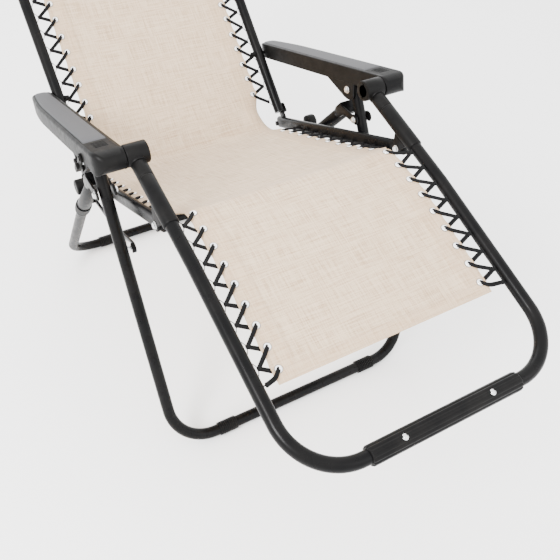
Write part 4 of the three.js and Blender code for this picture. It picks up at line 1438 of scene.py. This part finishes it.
@dataclass
class Sling:
    """The laced textile from the foot hem to the head hem.

    Places on it are given by u, the lateral distance along the cloth, and v, the distance from the
    foot hem along its length.
    """

    shop: Workshop
    step: float = 0.004
    softness: float = 0.009
    leg_half: float = 0.2278
    seat_half: float = 0.2455
    back_half: float = 0.2278
    leg_eyelet: float = 0.2150
    seat_eyelet: float = 0.2350
    back_eyelet: float = 0.2168
    thickness: float = 0.0013
    hem_width: float = 0.045
    pitch: float = 0.0425
    full_curl: float = 1.25
    spots: Array = field(init=False)
    places: Array = field(init=False)
    ups: Array = field(init=False)

    def __post_init__(self) -> None:
        """Lay out the sling's line and the places of the knee, the hip and the eyelets."""
        leg = [(-0.616, 0.475), (-0.556, 0.501), (-0.477, 0.5325), (-0.400, 0.5615), (-0.321, 0.581), (-0.290, 0.587),
               (-0.273, 0.5865)]
        seat = [RAIL.spot(s, h) for s, h in ((0.493, 0.006), (0.470, -0.002), (0.440, -0.007), (0.380, -0.009),
                                             (0.200, -0.009), (0.060, -0.009), (0.010, -0.007))]
        back = [BACK.spot(s, h) for s, h in ((0.010, -0.003), (0.060, -0.004), (0.300, -0.003), (0.700, -0.003))]
        knots = np.array([*leg, *seat[1:], *back])
        lengths = np.concatenate([[0], np.cumsum(np.linalg.norm(np.diff(knots, axis=0), axis=1))])
        marks = np.linspace(0, lengths[-1], round(lengths[-1] / self.step) + 1)
        dense = np.stack([np.interp(marks, lengths, knots[:, i]) for i in (0, 1)], axis=1)
        reach = round(3 * self.softness / self.step)
        weights = np.exp(-0.5 * (np.arange(-reach, reach + 1) * self.step / self.softness) ** 2)
        weights /= weights.sum()
        before = 2 * dense[0] - dense[reach:0:-1]
        after = 2 * dense[-1] - dense[-2:-reach - 2:-1]
        padded = np.concatenate([before, dense, after])
        self.spots = np.stack([np.convolve(padded[:, i], weights, mode="valid") for i in (0, 1)], axis=1)
        self.places = np.concatenate([[0], np.cumsum(np.linalg.norm(np.diff(self.spots, axis=0), axis=1))])
        tangents = np.gradient(self.spots, axis=0)
        tangents /= np.linalg.norm(tangents, axis=1)[:, None]
        self.ups = np.stack([-tangents[:, 1], tangents[:, 0]], axis=1)
        self.knee = self.v_of((-0.272, 0.5865))
        self.hip = self.v_of(BACK.spot(0.008, -0.003))
        self.split = self.v_of(RAIL.spot(0.250, -0.009))
        self.end = float(self.places[-1])
        first, last = self.v_of((-0.2835, 0.587)), self.v_of((-0.5928, 0.4855))
        self.eyelets = {
            Region.LEG: [float(v) for v in np.linspace(first, last, 9)],
            Region.SEAT: [self.v_of(RAIL.spot(0.453 - 0.043 * i, -0.009)) for i in range(10)],
            Region.BACK: [self.v_of(BACK.spot(0.094 + 0.0418 * i, -0.003)) for i in range(15)],
        }

    def v_of(self, spot: Sequence[float]) -> float:
        """Return the place along the line nearest to a side-view spot."""
        return float(self.places[np.argmin(np.linalg.norm(self.spots - np.asarray(spot), axis=1))])

    def half_width(self, v: float) -> float:
        """Return the cloth's half width."""
        knee = smoothstep(v, self.knee - 0.005, self.knee + 0.035)
        hip = smoothstep(v, self.hip - 0.045, self.hip + 0.060)
        width = self.leg_half + (self.seat_half - self.leg_half) * knee + (self.back_half - self.seat_half) * hip
        region = Region.LEG if v < self.knee else Region.SEAT if v < self.hip - 0.03 else Region.BACK
        nearest = min(abs(v - e) for e in self.eyelets[region])
        return float(width - 0.0016 * smoothstep(nearest, 0.004, self.pitch / 2))

    def sag(self, v: float) -> float:
        """Return how far the middle of the cloth hangs below its edges."""
        marks = [0, 0.12, self.knee - 0.05, self.knee, self.knee + 0.06, self.split, self.hip - 0.06, self.hip,
                 self.hip + 0.10, self.hip + 0.35, self.end]
        depths = [0.001, 0.005, 0.003, 0.0005, 0.004, 0.008, 0.006, 0.003, 0.005, 0.007, 0.001]
        return float(np.interp(v, marks, depths))

    def curl(self, v: float) -> float:
        """Return the angle by which the free edge turns down beside the hip."""
        rise = smoothstep(v, self.hip - 0.055, self.hip + 0.010)
        fall = smoothstep(v, self.hip + 0.035, self.hip + 0.092)
        return self.full_curl * float(rise * (1 - fall))

    def surface(self, u: float, v: float) -> tuple[Array, Array]:
        """Return a place on the cloth's middle layer and the direction out of its upper face."""
        spot = np.array([np.interp(v, self.places, self.spots[:, i]) for i in (0, 1)])
        up = unit([np.interp(v, self.places, self.ups[:, i]) for i in (0, 1)])
        half = self.half_width(v)
        free = 0.034
        turn = self.curl(v)
        way = math.copysign(1.0, u)
        past = max(0.0, abs(u) - (half - free))
        x, drop, lean = abs(u), 0.0, 0.0
        if turn > 0.01 and past > 0:
            bend = turn / free
            x = half - free + math.sin(bend * past) / bend
            drop = (1 - math.cos(bend * past)) / bend
            lean = bend * past
        share = min(1.0, abs(u) / half)
        region = Region.LEG if v < self.knee else Region.SEAT if v < self.hip - 0.03 else Region.BACK
        phase = math.cos(2 * math.pi * (v - self.eyelets[region][0]) / self.pitch)
        pull = 0.0006 * phase * math.exp(-(half - min(abs(u), half)) / 0.022)
        height = pull - drop - self.sag(v) * (1 - share ** 2)
        place = on(way * x, spot + up * height)
        side_up = on(0.0, up)
        out = unit(side_up * math.cos(lean) + way * X_AXIS * math.sin(lean))
        return place, out

    def hem(self, u: float, v: float) -> float:
        """Return how far a place is doubled cloth: 1 in the hems and the hip seam, 0 elsewhere."""
        side = smoothstep(abs(u), self.half_width(v) - self.hem_width - 0.0006, self.half_width(v) - self.hem_width)
        foot = 1 - smoothstep(v, 0.0250, 0.0256)
        head = smoothstep(v, self.end - 0.0306, self.end - 0.030)
        seam = 1 - smoothstep(abs(v - self.hip), 0.0062, 0.0070)
        return float(max(side, foot, head, 0.8 * seam))

    def rows(self, start: float, end: float) -> list[float]:
        """Return the v of every row between two places, closer together at the hems and the seam."""
        count = round((end - start) / 0.0055)
        rows = set(np.round(np.linspace(start, end, count + 1), 5))
        for mark in (0.0250, 0.0256, self.end - 0.0306, self.end - 0.030, self.hip - 0.0070, self.hip - 0.0062,
                     self.hip + 0.0062, self.hip + 0.0070):
            if start < mark < end:
                rows = {r for r in rows if abs(r - mark) > 0.0004} | {round(mark, 5)}
        return sorted(float(r) for r in rows)

    def sheet(self, name: str, start: float, end: float) -> bpy.types.Object:
        """Make one stretch of the sling as a closed thin sheet.

        Args:
            name: the piece's name.
            start: the v of its first row.
            end: the v of its last row.

        Returns:
            The object, with a weave UV map in metres and the hem attribute.
        """
        shares = sorted({*np.round(np.linspace(-1, 1, 45), 4)})
        rows = self.rows(start, end)
        top: list[Array] = []
        low: list[Array] = []
        flat: list[tuple[float, float]] = []
        hems: list[float] = []
        columns = len(shares) + 4
        for v in rows:
            half = self.half_width(v)
            line = half - self.hem_width
            across = sorted([s * half for s in shares] + [-line - 0.0003, -line + 0.0003, line - 0.0003, line + 0.0003])
            for u in across:
                place, out = self.surface(u, v)
                doubled = float(smoothstep(abs(u), line - 0.0003, line + 0.0003))
                doubled = max(doubled, self.hem(u, v) if abs(u) < line else 1.0)
                thick = self.thickness * (1 + 0.7 * doubled)
                top.append(place + out * (thick - self.thickness / 2))
                low.append(place - out * (self.thickness / 2))
                flat.append((u, v))
                hems.append(doubled)
        n = len(top)
        faces: list[tuple[int, ...]] = []
        for r in range(len(rows) - 1):
            for c in range(columns - 1):
                a, b = r * columns + c, (r + 1) * columns + c
                faces.append((a, a + 1, b + 1, b))
                faces.append((n + a, n + b, n + b + 1, n + a + 1))
        last = (len(rows) - 1) * columns
        for c in range(columns - 1):
            faces.append((c, n + c, n + c + 1, c + 1))
            faces.append((last + c, last + c + 1, n + last + c + 1, n + last + c))
        for r in range(len(rows) - 1):
            a, b = r * columns, (r + 1) * columns
            faces.append((a, b, n + b, n + a))
            a, b = a + columns - 1, b + columns - 1
            faces.append((a, n + a, n + b, b))
        mesh = bpy.data.meshes.new(name)
        mesh.from_pydata([tuple(p) for p in top + low], [], faces)
        layer = mesh.uv_layers.new(name="weave")
        index = np.empty(len(mesh.loops), np.int32)
        mesh.loops.foreach_get("vertex_index", index)
        layer.data.foreach_set("uv", np.array(flat + flat, np.float32)[index].ravel())
        mask = mesh.attributes.new("hem", "FLOAT", "POINT")
        mask.data.foreach_set("value", np.array(hems + hems, np.float32))
        mesh.materials.append(CLOTH.material())
        mesh.shade_smooth()
        mesh.set_sharp_from_angle(angle=math.radians(60))
        obj = bpy.data.objects.new(name, mesh)
        bpy.context.scene.collection.objects.link(obj)
        return obj

    def flat_size(self, start: float, end: float) -> tuple[Point2, float]:
        """Return the cut's (width, length) and its flat area."""
        marks = np.linspace(start, end, 200)
        widths = np.array([2 * self.half_width(float(v)) for v in marks])
        return (float(widths.max()), end - start), float(np.mean(widths) * (end - start))

    def build(self) -> None:
        """Build both stretches, then sew, pierce and lace them."""
        stretches = (("sling_lower", 0.0, self.split, "leg_rest", "seat", ["sling_leg_panel", "sling_seat_panel"]),
                     ("sling_upper", self.split, self.end, "seat", "back", ["sling_back_panel"]))
        turns = {"sling_lower": self.knee, "sling_upper": self.hip}
        for name, start, end, first, second, nodes in stretches:
            obj = self.sheet(name, start, end)
            turn = turns[name]
            ends = [tuple(float(c) for c in self.surface(0.0, turn + d)[0]) for d in (-0.045, 0.045)]
            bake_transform(obj)
            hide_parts(*nodes)
            size, area = self.flat_size(start, end)
            LOG.info("%s bends from %s to %s: flat %.3f by %.3f m", name, first, second, *size)
        self.sew()
        self.press_eyelets()
        for region in Region:
            self.lace(region)

    def seams(self, start: float, end: float) -> list[list[Array]]:
        """Return the stitch lines of one stretch: two along each side hem."""
        routes = []
        marks = np.arange(start, end, 0.008)
        for way in (-1, 1):
            for inset in (0.004, self.hem_width - 0.004):
                route = []
                for v in marks:
                    place, out = self.surface(way * (self.half_width(float(v)) - inset), float(v))
                    route.append(place + out * (self.thickness * 1.2 + 0.0001))
                routes.append(route)
        return routes

    def cross_seam(self, v: float) -> list[Array]:
        """Return a stitch line across the cloth."""
        half = self.half_width(v) - 0.004
        points = [self.surface(float(u), v) for u in np.linspace(-half, half, 60)]
        return [place + out * (self.thickness * 1.2 + 0.0001) for place, out in points]

    def sew(self) -> None:
        """Sew the hems; each body gets its own stretch of thread."""
        clear = 0.05
        routes = {
            "leg_rest": self.seams(0.002, self.knee - clear) + [self.cross_seam(v) for v in (0.004, 0.0215)],
            "seat": self.seams(self.knee + clear, self.hip - clear),
            "back": self.seams(self.hip + clear, self.end - 0.002)
            + [self.cross_seam(v) for v in (self.end - 0.004, self.end - 0.0265)],
        }
        for body, lines in routes.items():
            name = f"{body}_stitches"
            obj = self.shop.stitches.grow(name, line_mesh(name, lines), THREAD)
            self.shop.mount(obj, body, THREAD)

    def inset(self, region: Region) -> float:
        """Return the lateral place of a region's eyelets."""
        return {Region.LEG: self.leg_eyelet, Region.SEAT: self.seat_eyelet, Region.BACK: self.back_eyelet}[region]

    def body(self, region: Region) -> str:
        """Return the body that a region's eyelets and lace ride on."""
        return {Region.LEG: "leg_rest", Region.SEAT: "seat", Region.BACK: "back"}[region]

    def press_eyelets(self) -> None:
        """Press a domed ring into each eyelet, on both faces of the cloth."""
        for region, marks in self.eyelets.items():
            places, facing = [], []
            for side in Side:
                for v in marks:
                    place, out = self.surface(side.value * self.inset(region), v)
                    for way in (1.0, -1.0):
                        places.append(place + out * (self.thickness * (1.2 if way > 0 else -0.5)))
                        facing.append(out * way)
            name = f"{region.value}_eyelets"
            # The rings take the dark nickel copy: painted shade round each eyelet.
            obj = self.shop.eyelets.grow(name, point_mesh(name, places, facing, [X_AXIS] * len(places)), PAINTED_SHADE_RIM)
            self.shop.mount(obj, self.body(region), PAINTED_SHADE_RIM)
            bowl = Shape().turned([np.array([0.0, 0.0, h]) for h in (-0.0004, 0.0011, 0.0021, 0.0022, 0.0016)],
                                  [0.0069, 0.0066, 0.0056, 0.0042, 0.0032], 24)
            self.shop.repeat(f"{name}_barrels", self.body(region), bowl, places, facing, NICKEL,
                             heading=[X_AXIS] * len(places))

    def anchor(self, region: Region, side: Side, v: float, x: float) -> Array:
        """Return the place beside the tube where the lace turns back."""
        place = self.surface(side.value * self.inset(region), v)[0]
        if region is Region.BACK:
            s = float((place[1:] - np.asarray(HIP)) @ BACK.along)
            return BACK.at(side.value * x, s, -0.001)
        if region is Region.SEAT:
            s = float((place[1:] - np.asarray(HIP)) @ RAIL.along)
            return RAIL.at(side.value * x, s, -0.005)
        route = np.array(LegRest(self.shop).centreline())
        run = route[route[:, 0] > 0.26]
        run = run[np.argsort(run[:, 1])]
        z = float(np.interp(place[1], run[:, 1], run[:, 2]))
        return np.array([side.value * x, place[1], z + 0.002])

    def lace(self, region: Region) -> None:
        """Lace one region: doubled elastic from each eyelet to its anchor and back under the next one."""
        lead = {Region.LEG: 0.86, Region.SEAT: 0.45, Region.BACK: 0.70}[region]
        anchor_x = {Region.LEG: 0.2488, Region.SEAT: 0.2585, Region.BACK: 0.2525}[region]
        tube_x = {Region.LEG: 0.2552, Region.SEAT: 0.2622, Region.BACK: 0.2612}[region]
        cord_r, gap = 0.0023, 0.0023
        marks = sorted(self.eyelets[region], reverse=True)
        for side in Side:
            strands, ties, knots = [], [], []
            for i, v in enumerate(marks):
                step = marks[i + 1] - v if i + 1 < len(marks) else marks[i] - marks[i - 1]
                place, out = self.surface(side.value * self.inset(region), v)
                edge, edge_out = self.surface(side.value * self.half_width(v), v + 0.35 * step * lead)
                knot = self.anchor(region, side, v + step * lead, anchor_x)
                along = unit(self.surface(0.0, v + 0.004)[0] - self.surface(0.0, v - 0.004)[0])
                for way in (-1, 1):
                    shift = along * gap * way
                    route = [place - out * 0.002 + shift, place + out * 0.0034 + shift,
                             edge + edge_out * 0.0036 + shift, knot + shift * 0.8]
                    strands.append(rounded(route, [0.0024, 0.02], 18))
                    if i + 1 < len(marks):
                        next_place, next_out = self.surface(side.value * self.inset(region), marks[i + 1])
                        below = next_place - next_out * 0.0048 + side.value * X_AXIS * 0.006
                        under = [knot + shift * 0.8, below + shift,
                                 next_place - next_out * 0.0012 + shift]
                        strands.append(rounded(under, [0.003], 18))
                knots.append(knot)
                for part in (-0.30, 0.30):
                    far = self.anchor(region, side, v + step * (lead + part), tube_x)
                    ties.append([knot, (knot + far) / 2 + out * 0.0004, far])
            name = f"{region.value}_lace_{side.word}"
            obj = self.shop.tube(name, self.body(region), strands, cord_r, ELASTIC,
                                 [f"{region.value}_lacing_{side.word}"], sides=10)
            self.shop.tube(f"{name}_ties", self.body(region), ties, 0.0007, ELASTIC, sides=6)
            LOG.debug("%s has %d strands", obj.name, len(strands))
            wrap = Shape().turned([np.array([0.0, 0.0, z]) for z in (-0.0042, -0.0036, -0.002, 0.002, 0.0036, 0.0042)],
                                  [0.0016, 0.0027, 0.0034, 0.0034, 0.0027, 0.0016], 12)
            lines = [self.along_tube(region)] * len(knots)
            self.shop.repeat(f"{name}_wraps", self.body(region), wrap, knots, lines, ELASTIC,
                             heading=[X_AXIS] * len(knots))

    def along_tube(self, region: Region) -> Array:
        """Return the heading of the tube beside a region."""
        line = {Region.LEG: SHIN, Region.SEAT: RAIL, Region.BACK: BACK}[region]
        return np.array([0.0, *line.along])


# ---- headrest ------------------------------------------------------------------------------


@dataclass
class Headrest:
    """The pillow on the head end with its piping and its elastic band."""

    shop: Workshop
    centre: float = 0.625
    lift: float = 0.029
    half_width: float = 0.176
    reach: float = 0.081
    thick: float = 0.034
    voxel: float = 0.006
    cap: float = 0.018

    def blank(self) -> bpy.types.Object:
        """Return the slack pillow: a rounded slab, thinner at its rim than in its middle."""
        rings = []
        columns = 24
        for i in range(columns + 1):
            x = -1 + 2 * i / columns
            side = (1 - abs(x) ** 6) ** 0.5
            ring = []
            for k in range(32):
                a = 2 * math.pi * k / 32
                c, d = math.cos(a), math.sin(a)
                s = math.copysign(abs(c) ** 0.45, c) * self.reach * (0.93 + 0.07 * side)
                h = math.copysign(abs(d) ** 0.9, d) * self.thick / 2 * (0.22 + 0.78 * side)
                ring.append(BACK.at(x * self.half_width, self.centre + s, self.lift + h))
            rings.append(ring)
        return Shape().loft(rings).piece("pillow_blank", PILLOW, sharp=180)

    def inflate(self, obj: bpy.types.Object) -> None:
        """Remesh the blank and let pressure fill it, with a cap on how far any point moves."""
        remesh = obj.modifiers.new("remesh", "REMESH")
        remesh.mode = "VOXEL"
        remesh.voxel_size = self.voxel
        bake(obj, 180)
        rest = np.array([v.co for v in obj.data.vertices])
        cloth = obj.modifiers.new("cloth", "CLOTH")
        cloth.settings.use_pressure = True
        cloth.settings.uniform_pressure_force = 4.0
        cloth.settings.effector_weights.gravity = 0.0
        cloth.settings.quality = 6
        cloth.point_cache.frame_start = 1
        cloth.point_cache.frame_end = 20
        scene = bpy.context.scene
        for frame in range(1, 21):
            scene.frame_set(frame)
        bake(obj, 180)
        scene.frame_set(1)
        filled = np.array([v.co for v in obj.data.vertices])
        move = filled - rest
        length = np.linalg.norm(move, axis=1, keepdims=True)
        move *= np.minimum(1.0, self.cap / np.maximum(length, 1e-9))
        filled = rest + move
        up = np.array([0.0, *BACK.up])
        height = (filled - BACK.at(0, 0, 0.0)) @ up
        floor = 0.0032
        low = height < floor
        filled[low] += np.outer(floor - height[low], up)
        obj.data.vertices.foreach_set("co", filled.astype(np.float32).ravel())
        smooth = obj.modifiers.new("smooth", "SUBSURF")
        smooth.levels = smooth.render_levels = 1
        bake(obj, 180)

    def rim(self, obj: bpy.types.Object) -> list[Array]:
        """Return the route of the piping round the pillow's widest outline."""
        points = np.array([v.co for v in obj.data.vertices])
        middle = BACK.at(0.0, self.centre, self.lift)
        along = np.array([0.0, *BACK.along])
        up = np.array([0.0, *BACK.up])
        a, b, h = points[:, 0], (points - middle) @ along, (points - middle) @ up
        angles = np.arctan2(b / self.reach, a / self.half_width)
        level = np.abs(h) < 0.012
        route = []
        for target in np.linspace(-math.pi, math.pi, 73)[:-1]:
            apart = np.abs((angles - target + math.pi) % (2 * math.pi) - math.pi)
            near = level & (apart < 0.06)
            far = np.hypot(a, b) * near
            best = int(np.argmax(far))
            route.append(middle + X_AXIS * a[best] + along * b[best])
        closed = np.array(route + [route[0]])
        soft = closed.copy()
        for _ in range(3):
            ring = np.concatenate([soft[-2:-1], soft, soft[1:2]])
            soft = (ring[:-2] + 2 * ring[1:-1] + ring[2:]) / 4
        return [p for p in soft]

    def build(self) -> None:
        """Build and mount the pillow, its piping and its band."""
        pillow = self.blank()
        self.inflate(pillow)
        pillow.name = "headrest_cushion"
        pillow.data.name = pillow.name
        self.shop.mount(pillow, "headrest", PILLOW, ["headrest_pillow"])
        self.shop.tube("headrest_piping", "headrest", [self.rim(pillow)], 0.0021, PIPING, sides=10)
        self.band()

    def band(self) -> None:
        """Build the elastic band that holds the pillow round the cloth."""
        half, level, s0, wide = 0.2325, 0.0045, 0.644, 0.026
        loop = [(-0.150, 0.0062), (-0.200, level), (-half + 0.003, level - 0.0005), (-half, level - 0.003),
                (-half, -0.010), (-half + 0.003, -0.0135), (-0.12, -0.0150), (0.12, -0.0150), (half - 0.003, -0.0135),
                (half, -0.010), (half, level - 0.003), (half - 0.003, level - 0.0005), (0.200, level), (0.150, 0.0062)]
        rings = []
        for i, (x, h) in enumerate(loop):
            before, after = loop[max(i - 1, 0)], loop[min(i + 1, len(loop) - 1)]
            t = unit(np.subtract(after, before))
            out = np.array([t[1], -t[0]]) * 0.0006
            rings.append([BACK.at(x + k * out[0], s, h + k * out[1])
                          for k, s in ((-1, s0 - wide / 2), (1, s0 - wide / 2),
                                       (1, s0 + wide / 2), (-1, s0 + wide / 2))])
        obj = Shape().loft(rings).piece("headrest_band", ELASTIC, sharp=60)
        self.shop.mount(obj, "headrest", ELASTIC)



# ---- studio --------------------------------------------------------------------------------


@dataclass
class Studio:
    """The camera, the soft light and the pale floor."""

    eye: tuple[float, float, float] = (-0.6162, -1.2058, 1.3766)
    azimuth: float = -30.38
    elevation: float = 42.38
    roll: float = 1.66
    lens: float = 45.46
    shift: Point2 = (0.0380, -0.0259)

    def camera(self) -> None:
        """Put the camera at the viewing angle."""
        a, e, r = (math.radians(v) for v in (self.azimuth, self.elevation, self.roll))
        forward = Vector((-math.sin(a) * math.cos(e), math.cos(a) * math.cos(e), -math.sin(e)))
        right = forward.cross(Vector((0, 0, 1))).normalized()
        up = right.cross(forward)
        rolled_right = right * math.cos(r) + up * math.sin(r)
        rolled_up = up * math.cos(r) - right * math.sin(r)
        turn = Matrix((rolled_right, rolled_up, -forward)).transposed().to_4x4()
        data = bpy.data.cameras.new("camera")
        data.sensor_width = 36.0
        data.lens = self.lens
        data.shift_x, data.shift_y = self.shift
        data.clip_start = 0.01
        camera = bpy.data.objects.new("camera", data)
        camera.matrix_world = Matrix.Translation(self.eye) @ turn
        bpy.context.scene.collection.objects.link(camera)
        bpy.context.scene.camera = camera

    def light(self, name: str, place: Sequence[float], target: Sequence[float], size: float, power: float) -> None:
        """Hang one soft square light."""
        data = bpy.data.lights.new(name, "AREA")
        data.shape = "SQUARE"
        data.size = size
        data.energy = power
        lamp = bpy.data.objects.new(name, data)
        lamp.location = place
        lamp.rotation_euler = (Vector(target) - Vector(place)).to_track_quat("-Z", "Y").to_euler()
        bpy.context.scene.collection.objects.link(lamp)

    def world(self, strength: float) -> None:
        """Fill the surroundings with even light."""
        world = bpy.data.worlds.new("surroundings")
        world.use_nodes = True
        background = world.node_tree.nodes["Background"]
        background.inputs["Color"].default_value = (1.0, 1.0, 1.0, 1.0)
        background.inputs["Strength"].default_value = strength
        bpy.context.scene.world = world

    def floor(self) -> None:
        """Lay the floor."""
        shape = Shape().shell([(-6, -6, 0), (6, -6, 0), (6, 6, 0), (-6, 6, 0)], [(0, 1, 2, 3)])
        shape.piece("floor", FLOOR)

    def build(self) -> None:
        """Set up the whole studio."""
        self.camera()
        self.world(3.4)
        self.light("key", (-2.6, -1.4, 2.6), (0, 0, 0.4), 1.2, 230.0)
        self.light("fill", (1.5, -2.8, 2.2), (0, 0, 0.4), 2.0, 30.0)
        self.light("back", (0.6, 2.4, 2.6), (0, 0, 0.5), 2.0, 40.0)
        self.floor()


def main() -> None:
    """Load the frame, build every sub-assembly in order and report each piece."""
    logging.basicConfig(level=logging.INFO, format="%(message)s")
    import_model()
    Studio().build()
    shop = Workshop()
    FrontLegs(shop).build()
    RearLegs(shop).build()
    BackFrame(shop).build()
    SeatRails(shop).build()
    LegRest(shop).build()

    def sides(side: Side) -> None:
        """Build what one side carries."""
        SpreaderHook(shop, side).build()
        Armrest(shop, side).build()
        LockLever(shop, side).build()

    mirrored(sides)
    Bolts(shop, "armrest_leg_bolts", "armrests", ARM_ON_LEG, 0.2879, 0.3362, radius=0.0075).build(
        both("armrest_leg_bolt"))
    Sling(shop).build()
    Headrest(shop).build()
    LOG.info("%d pieces mounted", shop.count)


if __name__ == "__main__":
    main()
